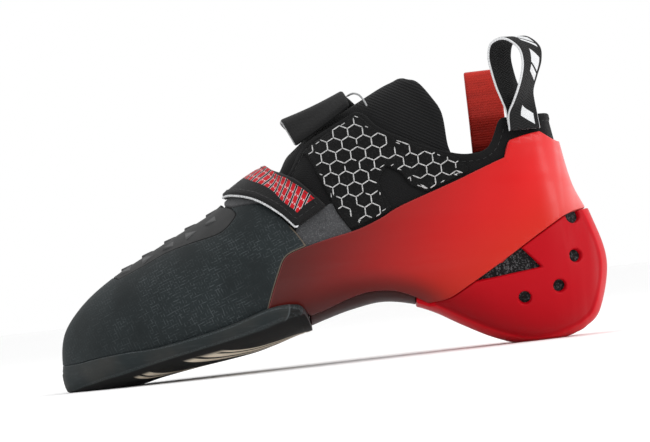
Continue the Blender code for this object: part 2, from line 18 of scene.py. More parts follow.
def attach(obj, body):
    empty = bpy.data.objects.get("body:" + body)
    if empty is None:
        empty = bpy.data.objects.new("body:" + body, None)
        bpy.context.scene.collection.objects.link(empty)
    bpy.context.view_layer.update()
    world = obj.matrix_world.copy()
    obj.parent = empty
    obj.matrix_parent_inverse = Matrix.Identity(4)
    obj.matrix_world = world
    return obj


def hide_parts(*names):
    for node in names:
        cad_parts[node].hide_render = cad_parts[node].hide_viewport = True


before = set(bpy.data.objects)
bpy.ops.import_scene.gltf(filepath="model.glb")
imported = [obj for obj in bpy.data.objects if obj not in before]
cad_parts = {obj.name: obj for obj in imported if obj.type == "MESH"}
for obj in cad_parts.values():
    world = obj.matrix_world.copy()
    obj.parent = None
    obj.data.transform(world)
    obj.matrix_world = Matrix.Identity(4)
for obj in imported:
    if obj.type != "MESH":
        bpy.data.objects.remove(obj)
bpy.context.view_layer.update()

bl_info = {
    "name": "Climbing Shoe Finish",
    "version": (1, 0, 0),
    "blender": (4, 5, 0),
    "location": "3D View > Sidebar > Climbing Shoe",
    "description": "Dresses a climbing shoe: rubber, knit, webbing, raised hexagons and stage",
    "category": "Object",
}

PER_CENT = 0.01
MILLIMETRE = 0.001

# Sections of the last from toe to heel. along is in per cent of the length; under, over and
# widest are heights in per cent of the instep height; swing, half, lift and lean are in per cent
# of the ball width. low and top are the squareness of the lower and upper halves.
Section = namedtuple("Section", "along under over widest swing half lift lean low top")
SECTIONS = [Section(*row) for row in (
    (0.0, 8.9, 8.9, 8.9, 22.0, 0.0, 0.0, 0.0, 2.2, 2.0),
    (0.3, 3.4, 16.5, 9.2, 21.8, 6.0, 0.4, 0.2, 2.3, 2.0),
    (1.4, 2.5, 22.3, 10.1, 21.0, 12.0, 1.2, 0.5, 2.4, 2.0),
    (3.9, 2.4, 28.2, 10.5, 18.5, 20.5, 3.0, 1.5, 2.6, 2.0),
    (7.2, 2.6, 33.6, 11.7, 14.5, 28.5, 4.2, 3.0, 2.8, 2.0),
    (11.8, 3.0, 39.2, 13.8, 10.5, 36.5, 5.2, 4.5, 2.9, 2.0),
    (17.6, 5.3, 44.9, 16.2, 6.5, 43.5, 4.2, 6.0, 3.0, 2.0),
    (23.9, 7.3, 50.9, 19.0, 3.4, 48.2, 4.2, 7.5, 3.0, 2.0),
    (30.1, 8.9, 56.8, 21.5, 1.2, 50.0, 5.2, 7.5, 3.0, 2.0),
    (35.1, 10.4, 63.6, 23.9, -0.2, 49.3, 6.5, 6.5, 3.0, 2.0),
    (39.3, 12.5, 68.2, 26.7, -0.9, 47.8, 7.5, 6.0, 3.0, 2.0),
    (43.0, 14.7, 70.6, 29.1, -1.3, 45.9, 7.5, 5.0, 3.0, 2.0),
    (45.5, 15.7, 76.0, 31.2, -1.5, 44.6, 6.0, 4.5, 3.0, 2.0),
    (48.4, 17.4, 82.5, 33.2, -1.7, 43.0, 4.0, 4.0, 3.0, 2.0),
    (53.4, 19.9, 88.0, 36.0, -1.8, 40.5, 2.0, 3.0, 3.0, 2.0),
    (59.2, 21.5, 93.5, 37.7, -1.7, 38.1, 0.5, 2.0, 3.0, 2.0),
    (64.6, 19.8, 98.5, 37.2, -1.3, 36.1, 0.0, 1.5, 2.8, 2.0),
    (69.2, 16.2, 100.5, 35.6, -0.9, 35.2, 0.0, 1.0, 2.6, 2.0),
    (74.2, 10.4, 102.5, 32.4, -0.6, 35.0, 0.0, 0.5, 2.4, 2.1),
    (79.6, 4.8, 104.0, 29.6, -0.2, 35.5, 0.0, 0.0, 2.3, 2.1),
    (85.0, 1.3, 104.0, 27.5, 0.0, 35.0, 0.0, 0.0, 2.3, 2.1),
    (89.6, 1.2, 102.0, 26.3, 0.0, 32.9, 0.0, 0.0, 2.3, 1.9),
    (92.3, 2.5, 96.0, 25.5, 0.0, 30.3, 0.0, 0.0, 2.2, 1.7),
    (93.7, 3.4, 76.0, 25.1, 0.0, 28.6, 0.0, 0.0, 2.1, 1.6),
    (95.5, 5.0, 55.0, 25.1, 0.0, 25.4, 0.0, 0.0, 2.0, 1.8),
    (98.0, 10.0, 42.1, 25.5, 0.0, 17.7, 0.0, 0.0, 2.0, 2.0),
    (100.0, 25.7, 25.7, 25.7, 0.0, 0.0, 0.0, 0.0, 2.0, 2.0),
)]
HEEL_SHARE = 0.88
SOLE_SQUARENESS = 4.6
LASTING_MARGIN = 0.36
LIFT_START = -0.3
LIFT_POWER = 2.4
POLE_SPAN = 0.04

# Outlines seen from the side: per cent of the length from the toe, per cent of the instep height
SOLE_EDGE = [(-6, 10.0), (1.4, 10.2), (5.6, 11.3), (11.7, 12.3), (17.6, 12.6), (26.0, 15.0),
             (32.2, 17.6), (38.5, 21.3)]
SOLE_END = [(42.1, 21.9), (44.3, 21.1), (45.4, 18.6), (46.0, 13.0)]
BAND_FRONT = [(40.0, 28.6), (41.3, 34.3), (42.4, 38.5), (43.8, 40.6), (46.8, 42.4)]
CAP_REAR = [(44.6, 49.1), (40.1, 59.0), (37.5, 59.4), (33.9, 59.0)]
PATCH_EDGE = [(34.7, 56.7), (34.0, 54.4), (32.3, 51.4), (30.2, 49.7), (25.6, 48.0), (21.0, 45.7),
              (16.4, 41.9), (11.7, 38.4), (8.9, 40.5)]
BAND_TOP = [(51.2, 44.4), (56.4, 46.4), (60.7, 49.4), (64.6, 53.0), (74.0, 59.0), (81.9, 64.4),
            (84.2, 65.8), (84.9, 69.6), (85.4, 71.7), (88.4, 73.1), (91.3, 73.9), (93.2, 71.2),
            (94.5, 70.0)]
BAND_FOOT = [(46.1, 17.6), (49.7, 19.6), (53.4, 22.0), (57.2, 23.6), (61.3, 23.2), (64.6, 20.8)]
CUP_TOP = [(67.7, 17.2), (71.1, 18.0), (73.8, 20.4), (81.4, 28.9), (91.1, 39.8), (95.0, 43.6),
           (98.4, 45.0)]
CUP_WINDOW = [(85.2, 33.6), (88.7, 25.9), (76.6, 23.2)]
CUP_HOLES = [(95.2, 28.5), (91.6, 18.4), (85.0, 15.5)]
EDGE_HOLE = (95.6, 42.8)
FELT_PANEL = [(43.0, 39.0), (45.4, 49.4), (46.6, 51.0), (51.9, 56.6), (53.0, 56.0), (55.6, 44.0)]
THROAT = [(41.5, 66.0), (43.8, 66.8), (46.0, 72.0), (48.4, 78.4), (53.4, 83.6), (58.4, 88.2),
          (60.1, 86.6), (61.5, 83.0), (63.7, 79.7), (68.0, 75.3), (73.0, 70.9), (76.7, 68.6),
          (80.0, 68.5), (81.7, 70.4), (82.9, 74.5), (83.8, 78.4), (84.6, 79.9), (91.3, 80.1)]
MESH_OUTLINE = [(47.6, 75.6), (48.6, 74.4), (49.4, 71.4), (50.5, 65.7), (52.0, 58.2), (53.1, 52.6),
                (55.0, 46.5), (60.7, 50.0), (63.0, 52.1), (61.1, 61.6), (62.7, 67.4), (65.3, 64.2),
                (66.6, 60.3), (69.4, 56.7), (78.1, 62.5), (75.7, 67.4), (73.1, 69.8), (67.8, 74.3),
                (63.4, 78.6), (61.0, 82.0), (59.3, 86.0), (58.2, 87.0), (53.4, 82.6)]
STRAP_BASE = [(32.2, 78.0), (32.4, 60.6), (34.2, 59.6), (37.5, 60.0), (40.3, 59.6), (43.2, 53.6),
              (46.6, 57.0), (43.0, 65.0), (40.8, 65.6), (40.6, 78.0)]
FRONT_STRAP = [(31.4, 64.1), (33.6, 64.5), (37.8, 62.1), (41.8, 56.8), (45.2, 49.7), (51.3, 56.0),
               (46.8, 65.7), (43.8, 69.6), (41.3, 73.0), (38.6, 80.0), (31.4, 80.0)]
FRONT_STRAP_INNER = [(31.4, 64.1), (33.6, 64.5), (37.8, 62.1), (43.8, 54.0), (49.0, 44.5),
                     (56.0, 49.0), (49.0, 62.5), (44.8, 69.0), (41.3, 73.0), (38.6, 80.0),
                     (31.4, 80.0)]
TONGUE_OUTLINE = [(40.8, 100.0), (40.8, 58.0), (46.0, 64.0), (52.0, 71.0), (58.0, 76.0),
                  (64.0, 70.0), (70.0, 64.5), (75.0, 62.0), (75.6, 66.0), (74.4, 72.0),
                  (74.0, 84.0), (72.4, 90.8), (70.2, 97.1), (68.0, 99.2), (66.0, 108.0),
                  (50.0, 108.0)]

# Edges of the upper strap: shares along, degrees from the crown and the gap off its seat
StrapRow = namedtuple("StrapRow", "front_along front_turn front_gap rear_along rear_turn rear_gap")
UPPER_STRAP = [StrapRow(*row) for row in (
    (46.8, 22, 0.0, 57.4, 22, 0.0),
    (45.9, 14, 4.4, 57.0, 12, 0.9),
    (44.8, 5, 10.4, 56.7, 3, 1.7),
    (44.6, -6, 11.0, 56.7, -5, 1.9),
    (46.0, -17, 6.5, 57.3, -14, 1.3),
    (48.4, -28, 2.0, 58.8, -25, 0.4),
    (50.8, -40, 0.0, 60.6, -37, 0.0),
    (52.8, -52, 0.0, 62.4, -49, 0.0),
)]

# Cord behind the upper strap: share along, degrees from the crown, millimetres off its seat
KEEPER = [(57.1, 6, 0.2), (58.3, 13, 1.0), (59.4, 20, 1.0), (60.2, 26, 0.0), (60.6, 29, -1.2)]

# Middle lines of the webbings: share along, share out from the flank, share up, turn in degrees
COLLAR_TOP = 81.8
WebRow = namedtuple("WebRow", "along off up turn")
PULL_LOOP = [WebRow(*row) for row in (
    (88.5, 4.2, 74.8, 22),
    (88.5, 4.4, 80.5, 30),
    (88.9, 6.2, 84.5, 48),
    (89.4, 8.6, 88.6, 60),
    (90.4, 10.4, 93.6, 60),
    (91.2, 10.4, 98.6, 54),
    (91.0, 7.6, 103.6, 48),
    (88.8, 3.0, 107.4, 45),
    (86.4, -2.0, 106.4, 45),
    (85.6, -5.0, 102.0, 46),
    (85.8, -5.6, 96.6, 47),
    (86.4, -3.8, 90.6, 46),
    (87.4, -0.8, 85.6, 38),
    (88.2, 1.6, 81.6, 28),
    (88.5, 2.0, 74.8, 22),
)]
PULL_TAB = [WebRow(*row) for row in (
    (82.6, -4.6, 62.0, -3),
    (82.6, -4.8, 70.0, -4),
    (82.6, -4.8, 80.0, -5),
    (82.6, -3.8, 90.0, -5),
    (82.6, -4.4, 96.6, -5),
    (82.6, -6.0, 98.2, -5),
    (82.6, -7.6, 96.6, -5),
    (82.6, -7.8, 90.0, -5),
    (82.6, -7.4, 80.0, -5),
    (82.6, -7.4, 70.0, -4),
)]

# Studs of the toe patch: share along, degrees from the crown to the outer ones
STUD_ROWS = [(13.6, 16), (17.8, 20), (22.0, 22), (26.2, 24), (30.3, 24)]

# How each piece is cut from the last: radius of its rounded edge in metres (none where the edge is
# a half round), the shares along and the degrees from the crown that it lies within, and the
# spacing of its points as a share of the usual one
Cut = namedtuple("Cut", "edge span turns spacing", defaults=((-180, 180), 1.0))
CUTS = {
    "upper": Cut(None, (0, 100), spacing=1.25),
    "insole": Cut(0.0008, (0, 100), (60, 300), 1.4),
    "tongue": Cut(None, (38, 80), (-100, 100)),
    "outsole": Cut(0.0003, (0, 48)),
    "toe_rand": Cut(0.0003, (0, 48)),
    "toe_hook_patch": Cut(0.0006, (6, 36), (-100, 100)),
    "tension_band": Cut(0.0006, (38, 100)),
    "arch_rand": Cut(0.0005, (44, 68)),
    "heel_cup": Cut(0.0008, (62, 100), spacing=0.75),
    "outer_quarter_mesh": Cut(0.0006, (45, 80), (0, 130), 0.8),
    "inner_quarter_mesh": Cut(0.0006, (45, 80), (-130, 0), 0.8),
    "strap_base": Cut(0.0007, (30, 50), (-110, 110)),
    "felt_panel": Cut(0.0004, (42, 57), (0, 120)),
    "front_strap": Cut(0.0012, (29, 60), (-125, 125), 0.8),
}

# Shares of an edge's radius at which a patch is cut, so that its edge comes out round
EDGE_CUTS = (0.07, 0.28, 0.6, 1.0)
SOLE_CUTS = (0.08, 0.3, 0.6, 1.0)
ROLL_CUTS = (0.1, 0.35, 0.65, 1.0)

# Millimetres in from the edge past which no patch is cut, so that its cells stay whole
UNCUT_DEPTH = 4.5

# Sizes in metres that belong to one piece. Depths are distances in from the piece's edge.
SIDE_FADE = 0.012  # reach past the middle over which a crease of one side comes up
TUCK = 0.0002  # how far the toe rand reaches under the rubber that borders it
GROOVE_DEPTHS = (0.0026, 0.0034, 0.0042)
GROOVE_WIDTH = 0.0005
GROOVE_RELIEF = 0.0002
THICK_WALL_DEPTH = 0.0050
COLLAR_SEAM_DEPTH = 0.0034
BINDING_DEPTH = 0.0026
BINDING_RELIEF = 0.0005
FOOT_TURN = 0.006  # height over the lowest line to which the upper is open underneath
STRAP_HEM_DEPTH = 0.0026
STRAP_HEM_SLOPE = 0.0006
STRAP_HEM_RELIEF = 0.0003
STRAP_CHANGE = 0.090  # reach over which the strap's outline changes to that of the inner side
PIPING_STEP = 0.0008
PIPING_REACH = 0.0016  # distance from the strap's front edge within which piping runs
TONGUE_HEM_DEPTH = 0.003
TONGUE_HEM_WIDTH = 0.0022
TONGUE_HEM_RELIEF = 0.0007
TONGUE_FOLDS = 0.0004
TONGUE_FOLD_RUN = 0.0085
BULGE_ALONG = 44.8  # share along of the soft bulge at the tongue's foot
BULGE_REACH = 0.0050
BULGE_RELIEF = 0.0026
MESH_BORDER = 0.0006  # depth that stays free of hexagons and dashes
DASH_DEPTH = 0.0021
DASHES = 1700

# Height of a hexagon of the quarter mesh as a share of a regular one
HEXAGON_SQUASH = 0.90

# Points of the last that belong to no patch
Spots = namedtuple("Spots", "place turn squareness")

# Soft troughs (depth above zero) and ridges (below zero) over the upper and its rubber, drawn:
# the two ends in shares along and up, the half width and the depth in millimetres, and the
# side, which is -1 for the outer, 1 for the inner and 0 for both sides
Crease = namedtuple("Crease", "along up to_along to_up width depth side")
CREASES = [Crease(*row) for row in (
    (28.0, 24.0, 36.0, 45.0, 5.0, 0.35, -1),
    (20.0, 20.0, 24.0, 36.0, 6.0, 0.30, -1),
    (33.0, 28.0, 40.0, 56.0, 4.0, -0.30, -1),
    (8.0, 20.0, 12.0, 33.0, 6.0, -0.30, -1),
    (30.0, 22.0, 37.0, 48.0, 5.0, 0.45, 1),
    (22.0, 20.0, 27.0, 40.0, 5.5, 0.35, 1),
    (41.5, 64.0, 46.0, 71.0, 2.6, 0.70, 0),
    (63.0, 76.0, 69.0, 62.0, 2.8, 0.60, 0),
    (69.5, 72.0, 76.0, 60.0, 3.0, 0.55, 0),
    (74.0, 69.0, 84.0, 66.5, 2.4, -0.50, 0),
    (50.0, 26.0, 60.0, 42.0, 7.0, 0.40, 0),
    (60.0, 30.0, 74.0, 36.0, 8.0, -0.35, 0),
    (86.0, 52.0, 90.0, 70.0, 5.0, -0.45, 0),
    (80.0, 46.0, 83.0, 62.0, 5.0, 0.35, 0),
)]

# Soft boxes: name, place, width and height in metres, power in watts
LAMPS = (("key", (0.75, -0.85, 0.95), (0.6, 0.4), 3.6),
         ("heel", (0.80, -0.40, 0.32), (0.22, 0.9), 2.8),
         ("fill", (-1.1, -1.2, 0.7), (1.0, 0.8), 1.2),
         ("top", (-0.1, 0.5, 1.3), (0.9, 0.9), 2.4))
FLOOR_RADIUS = 40.0
SENSOR_WIDTH = 36.0  # millimetres


def length(default, description):
    """Property of a size in metres."""
    return FloatProperty(description=description, default=default, min=0.0, unit="LENGTH",
                         subtype="DISTANCE", precision=5)


def colour(default, description):
    """Property of a linear colour."""
    return FloatVectorProperty(description=description, default=default, size=3, min=0.0,
                               max=1.0, subtype="COLOR")


class ShoeFormSizes(bpy.types.PropertyGroup):
    """The last and the walls that lie on it."""

    last_length: length(0.2404, "Length of the last from toe to heel")
    ball_width: length(0.0846, "Widest section of the last")
    instep_height: length(0.1235, "Height that the sections' shares refer to")
    clearance: length(0.0003, "Gap between two pieces that meet")
    upper_wall: length(0.0018, "Thickness of the textile upper")
    insole: length(0.0016, "Thickness of the insole")
    insole_rise: length(0.0055, "How far the insole turns up at its edge")
    tongue: length(0.0024, "Thickness of the knitted tongue")
    rand: length(0.0016, "Thickness of toe rand and toe patch")
    band: length(0.0018, "Thickness of the tension band")
    arch: length(0.0018, "Thickness of the rubber under the arch")
    cup: length(0.0020, "Thickness of the moulded heel")
    mesh: length(0.0009, "Thickness of the mesh overlay")
    pad: length(0.0015, "Thickness of the felt pad under the front strap")
    strap: length(0.0026, "Thickness of both closure straps")
    sole: length(0.0040, "Thickness of the half sole underfoot")
    sole_wall: length(0.0023, "Thickness of the half sole at its side")
    seam: length(0.00006, "Gap between the edges of two pieces of rubber")
    panel: length(0.0005, "Thickness of the felt panel behind the front strap")
    facet: length(0.0013, "Spacing of the points of a patch")


class ShoeTrimSizes(bpy.types.PropertyGroup):
    """Small details that lie on the pieces."""

    hexagon: length(0.0064, "Distance between two hexagons in a row")
    hexagon_line: length(0.00031, "Half width of a raised line")
    hexagon_relief: length(0.00032, "Height of a raised line")
    stud: length(0.0074, "Length of a stud of the toe patch")
    stud_height: length(0.0010, "Height of a stud at its point")
    cup_hole: length(0.0027, "Radius of a round hole in the heel")
    edge_hole: length(0.0032, "Radius of the hole half under the band")
    cup_rim: length(0.0030, "Width of the raised rim of the heel")
    cup_rim_height: length(0.0007, "Height of the raised rim of the heel")
    webbing: length(0.0150, "Width of the pull loop")
    webbing_thickness: length(0.0014, "Thickness of pull loop and tab")
    tab: length(0.0160, "Width of the pull tab")
    piping: length(0.00055, "Radius of the light piping")
    stitch: length(0.0022, "Length of one stitch")
    stitch_gap: length(0.0009, "Gap between two stitches")
    thread: length(0.00017, "Radius of the sewing thread")


class ShoeColours(bpy.types.PropertyGroup):
    """Colours of the materials."""

    textile: colour((0.0062, 0.0062, 0.0064), "Black textile of the upper")
    speckle: colour((0.090, 0.091, 0.093), "Grey yarn in the heel textile")
    knit: colour((0.0065, 0.0065, 0.0068), "Rib knit of the tongue")
    rand: colour((0.0150, 0.0205, 0.0220), "Rubber of toe rand and sole wall")
    wall: colour((0.0290, 0.0305, 0.0290), "Pale patches of the sole's wall")
    hatch: colour((0.072, 0.083, 0.088), "Worn threads in the rand's imprint")
    tan: colour((0.120, 0.095, 0.070), "Worn edge of the rand behind the toes")
    board: colour((0.030, 0.030, 0.032), "Insole board")
    fibre: colour((0.085, 0.085, 0.090), "Brushed fibres of the insole")
    patch: colour((0.026, 0.0265, 0.027), "Rubber of the toe patch")
    # Painted highlight: the studs are painted paler than the patch, for their lit tops.
    stud: colour((0.090, 0.091, 0.092), "Worn tops of the studs")
    edge: colour((0.0030, 0.0030, 0.0032), "Dark edge line of the toe patch")
    # Painted shade along the edge of the toe patch, where it meets the rand.
    sole: colour((0.0055, 0.0055, 0.0055), "Underside of the half sole")
    graphic: colour((0.800, 0.700, 0.560), "Cream inlay under the sole")
    arch: colour((0.0200, 0.0040, 0.0034), "Dark rubber by the arch")
    maroon: colour((0.058, 0.0055, 0.0040), "Dark front of the tension band")
    # Maroon is the arch rubber's own colour; on the band it is also the dark end of a fade that is
    # partly painted shade.
    red: colour((0.560, 0.0035, 0.0040), "Rear of the tension band")
    ember: colour((0.470, 0.0120, 0.0020), "Lower rear of the tension band")
    # Pale pink of the painted highlights on the band; on the heel it is the colour of the fine
    # speckle.
    blush: colour((0.820, 0.200, 0.200), "Pale sheen at the back of the band")
    crimson: colour((0.375, 0.0008, 0.0060), "Moulded heel")
    # Brighter crimson standing in for light on the heel's raised rim, a painted highlight; on the
    # pull tab it tints the pale fuzz.
    rim: colour((0.520, 0.0015, 0.0085), "Raised rim of the heel")
    hexagon: colour((0.560, 0.560, 0.555), "Raised hexagon lines")
    felt: colour((0.053, 0.054, 0.057), "Grey felt by the front strap")
    felt_fleck: colour((0.150, 0.152, 0.155), "Pale hairs in the felt")
    strap: colour((0.0060, 0.0060, 0.0062), "Webbing of the straps")
    piping: colour((0.720, 0.730, 0.740), "Light piping and edges")
    print_red: colour((0.450, 0.0060, 0.0130), "Red bars on the front strap")
    tab_red: colour((0.460, 0.0170, 0.0080), "Red webbing of the pull tab")


class ShoeStageSettings(bpy.types.PropertyGroup):
    """Camera, floor and light."""

    distance: length(1.9, "From the camera to the shoe's middle")
    camera_height: length(0.030, "Height of the camera over the floor")
    frame_width: length(0.2874, "What the picture's width covers at the shoe")
    look_along: FloatProperty(default=-0.0899, unit="LENGTH",
                              description="X of the point at the picture's middle")
    look_up: length(0.0629, "Z of the point at the picture's middle")
    roll: FloatProperty(description="Roll of the camera, toe down", default=math.radians(6.54),
                        unit="ROTATION", subtype="ANGLE")
    floor: colour((0.97, 0.97, 0.97), "Plain pale floor")
    sky: colour((1.0, 1.0, 1.0), "Plain pale surroundings")


def between(before, start, end, after, share):
    """Point of a Catmull-Rom curve at a share of the way from start to end."""
    return 0.5 * (2 * start + (end - before) * share
                  + (2 * before - 5 * start + 4 * end - after) * share ** 2
                  + (3 * start - before - 3 * end + after) * share ** 3)


class Last:
    """The form that the pieces follow, evaluated for whole arrays of points."""

    def __init__(self, sizes):
        self.length = sizes.last_length
        self.ball_width = sizes.ball_width
        self.instep_height = sizes.instep_height
        self.end = len(SECTIONS) - 1
        rows = np.array(SECTIONS)
        self.table = np.vstack([self.ghost(SECTIONS[1]), rows, self.ghost(SECTIONS[-2])])
        self.fine_place = np.linspace(0.0, self.end, 4001)
        self.fine_along = self.row(self.fine_place).along

    @staticmethod
    def ghost(row):
        """Row past an end of the last, which makes that end close as a round cap."""
        return np.array(row._replace(under=row.over, over=row.under, half=-row.half))

    def along(self, share):
        """X of a share of the length."""
        return (share * PER_CENT - HEEL_SHARE) * self.length

    def side(self, share):
        """Y of a share of the ball width."""
        return share * PER_CENT * self.ball_width

    def up(self, share):
        """Z of a share of the instep height."""
        return share * PER_CENT * self.instep_height

    def row(self, place):
        """Section at fractional indices, through a Catmull-Rom curve."""
        place = np.asarray(place, dtype=float)
        index = np.clip(place.astype(int), 0, self.end - 1)
        share = (place - index)[..., None]
        around = (self.table[index + step] for step in range(4))
        return Section(*np.moveaxis(between(*around, share), -1, 0))

    def place(self, share):
        """Fractional section index at a share of the length."""
        return np.interp(share, self.fine_along, self.fine_place)

    def skin(self, place, turn, squareness=None):
        """Points of the last; turn runs in degrees from the crown, outer side positive."""
        row = self.row(place)
        outward, upward = np.sin(np.radians(turn)), np.cos(np.radians(turn))
        power = np.where(upward > 0, row.top, squareness or row.low)
        reach = (np.abs(outward) ** power + np.abs(upward) ** power) ** (-1.0 / power)
        across, rise = outward * reach, upward * reach
        raised = np.maximum(0.0, rise)
        height = np.where(rise > 0, row.over - row.widest, row.widest - row.under)
        lifted = np.maximum(0.0, (across - LIFT_START) / (1.0 - LIFT_START))
        tilt = lifted ** LIFT_POWER * (1.0 - raised) ** 2
        side = row.swing - across * row.half + row.lean * raised ** 2
        up = self.up(row.widest + height * rise) + self.side(row.lift * tilt)
        return np.stack([self.along(row.along), self.side(side), up], axis=-1)

    def normal(self, place, turn, squareness=None):
        """Unit normals by differences along and around the last."""
        place, turn = np.broadcast_arrays(np.asarray(place, float), np.asarray(turn, float))
        inner = np.clip(place, POLE_SPAN, self.end - POLE_SPAN)
        ahead = self.skin(inner + 0.03, turn, squareness)
        behind = self.skin(inner - 0.03, turn, squareness)
        left = self.skin(inner, turn + 1.5, squareness)
        right = self.skin(inner, turn - 1.5, squareness)
        normal = np.cross(left - right, ahead - behind)
        normal /= np.linalg.norm(normal, axis=-1, keepdims=True)
        pole = np.clip(np.minimum(place, self.end - place) / POLE_SPAN, 0.0, 1.0)[..., None]
        tip = np.zeros_like(normal)
        tip[..., 0] = np.where(place < 1.0, -1.0, 1.0)
        normal = normal * pole + tip * (1.0 - pole)
        return normal / np.linalg.norm(normal, axis=-1, keepdims=True)

    def flank(self, share, up, side):
        """Place and turn of points seen from the side at shares along and up."""
        place = self.place(np.asarray(share, float))
        target = self.up(np.asarray(up, float))
        low, high = np.zeros_like(place), np.full_like(place, 180.0)
        for _ in range(30):
            middle = 0.5 * (low + high)
            above = self.skin(place, -side * middle)[..., 2] > target
            low = np.where(above, middle, low)
            high = np.where(above, high, middle)
        return place, -side * 0.5 * (low + high)

    def girth(self, place, turn):
        """Distance round the section from the crown, in metres, outer side positive."""
        share = np.linspace(0.0, 1.0, 25)[:, None]
        line = self.skin(np.broadcast_to(place, (25, len(place))), share * turn[None, :])
        return np.sign(turn) * np.linalg.norm(np.diff(line, axis=0), axis=-1).sum(axis=0)


def smooth_rows(rows, steps):
    """Catmull-Rom curve through table rows, with steps points between two rows."""
    table = np.array(rows, dtype=float)
    padded = np.vstack([2 * table[0] - table[1], table, 2 * table[-1] - table[-2]])
    result = []
    for index in range(1, len(padded) - 2):
        around = padded[index - 1:index + 3]
        result += [between(*around, step / steps) for step in range(steps)]
    result.append(table[-1])
    return np.array(result)


def soft_outline(points, corner=42.0, steps=5):
    """Closed outline drawn as curves between its corners."""
    points = np.array(points, dtype=float)
    count = len(points)
    arrive = points - np.roll(points, 1, axis=0)
    leave = np.roll(points, -1, axis=0) - points
    cosine = (arrive * leave).sum(axis=1)
    cosine /= np.linalg.norm(arrive, axis=1) * np.linalg.norm(leave, axis=1)
    corners = [n for n in range(count) if cosine[n] < math.cos(math.radians(corner))]
    if not corners:
        return smooth_rows(np.vstack([points, points[:1]]), steps)[:-1]
    drawn = []
    for number, start in enumerate(corners):
        end = corners[(number + 1) % len(corners)]
        span = [points[(start + n) % count] for n in range((end - start) % count + 1 or count + 1)]
        drawn.append(smooth_rows(span, steps)[:-1] if len(span) > 2 else np.array(span[:1]))
    return np.vstack(drawn)


class Fields:
    """Distances in from the edge of a piece, in metres along the surface, negative outside."""

    def __init__(self, last, seam):
        self.last = last
        self.seam = seam

    def seen(self, table):
        """Points seen from the side, in metres, from a table of shares along and up."""
        return np.stack([self.last.along(table[:, 0]), self.last.up(table[:, 1])], axis=-1)

    def gap_to(self, points, spots):
        """Distance of spots to the curve through points, as seen from the side."""
        line = self.seen(smooth_rows(points, 6))
        return np.linalg.norm(spots[:, None, (0, 2)] - line[None], axis=2).min(axis=1)

    @staticmethod
    def on_surface(gap, distance, normals):
        """Stretch a distance seen from the side to what it is along a slanted surface."""
        reach = np.maximum(np.linalg.norm(gap, axis=1), 1e-9)
        facing = (gap * normals[:, (0, 2)]).sum(axis=1) / reach
        return distance / np.sqrt(np.maximum(1.0 - facing ** 2, 0.12))

    @staticmethod
    def flat_distance(outline, flat):
        """Signed distance of flat points to an outline, and the gap to its nearest point."""
        best = np.full(len(flat), np.inf)
        nearest = np.zeros_like(flat)
        inside = np.zeros(len(flat), dtype=bool)
        for start, end in zip(outline, np.roll(outline, -1, axis=0)):
            edge = end - start
            share = np.clip((flat - start) @ edge / max(edge @ edge, 1e-12), 0.0, 1.0)
            gap = flat - start - share[:, None] * edge
            size = (gap ** 2).sum(axis=1)
            closer = size < best
            best = np.where(closer, size, best)
            nearest[closer] = gap[closer]
            if start[1] != end[1]:
                crossing = start[0] + (flat[:, 1] - start[1]) * edge[0] / edge[1]
                spans = (start[1] > flat[:, 1]) != (end[1] > flat[:, 1])
                inside ^= spans & (flat[:, 0] < crossing)
        return np.sqrt(best) * np.where(inside, 1.0, -1.0), nearest

    def seen_distance(self, points, spots):
        """Distance in from an outline as it is seen from the side."""
        outline = self.seen(soft_outline(points))
        return self.flat_distance(outline, spots[:, (0, 2)])[0]

    def within(self, points, by=None):
        """Field that is positive inside an outline drawn in by half a seam."""
        outline = self.seen(soft_outline(points))
        by = 0.5 * self.seam if by is None else by

        def field(place, turn, spots, normals):
            signed, nearest = self.flat_distance(outline, spots[:, (0, 2)])
            return self.on_surface(nearest, signed - by, normals)
        return field

    def without(self, points):
        """Field that is positive outside an outline."""
        inner = self.within(points, 0.0)
        return lambda *spot: -inner(*spot)

    def outside_hole(self, share, up, radius):
        """Field that is positive outside a round hole that goes through from the side."""
        middle = np.array([self.last.along(share), self.last.up(up)])

        def field(place, turn, spots, normals):
            gap = spots[:, (0, 2)] - middle
            return self.on_surface(gap, np.linalg.norm(gap, axis=1) - radius, normals)
        return field

    def morphed(self, outer, inner, reach):
        """Field of an outline that changes from the middle to the inner side."""
        near, far = self.within(outer), self.within(inner)

        def field(place, turn, spots, normals):
            share = np.clip(spots[:, 1] / reach, 0.0, 1.0)
            spot = (place, turn, spots, normals)
            return near(*spot) * (1.0 - share) + far(*spot) * share
        return field

    @staticmethod
    def on_side(direction):
        """Field that is positive on one side of the shoe."""
        return lambda place, turn, spots, normals: spots[:, 1] * direction

    @staticmethod
    def all_of(*fields):
        """Field of what lies inside every one of several fields."""
        return lambda *spot: np.min([field(*spot) for field in fields], axis=0)


def rounded(depth, radius):
    """Share of the full height at a distance in from a rounded edge."""
    short = 1.0 - np.clip(depth / radius, 0.0, 1.0)
    return np.sqrt(np.maximum(0.0, 1.0 - short ** 2))


def soft_step(value, low, high):
    """Smooth change from 0 at low to 1 at high."""
    share = np.clip((value - low) / (high - low), 0.0, 1.0)
    return share * share * (3.0 - 2.0 * share)


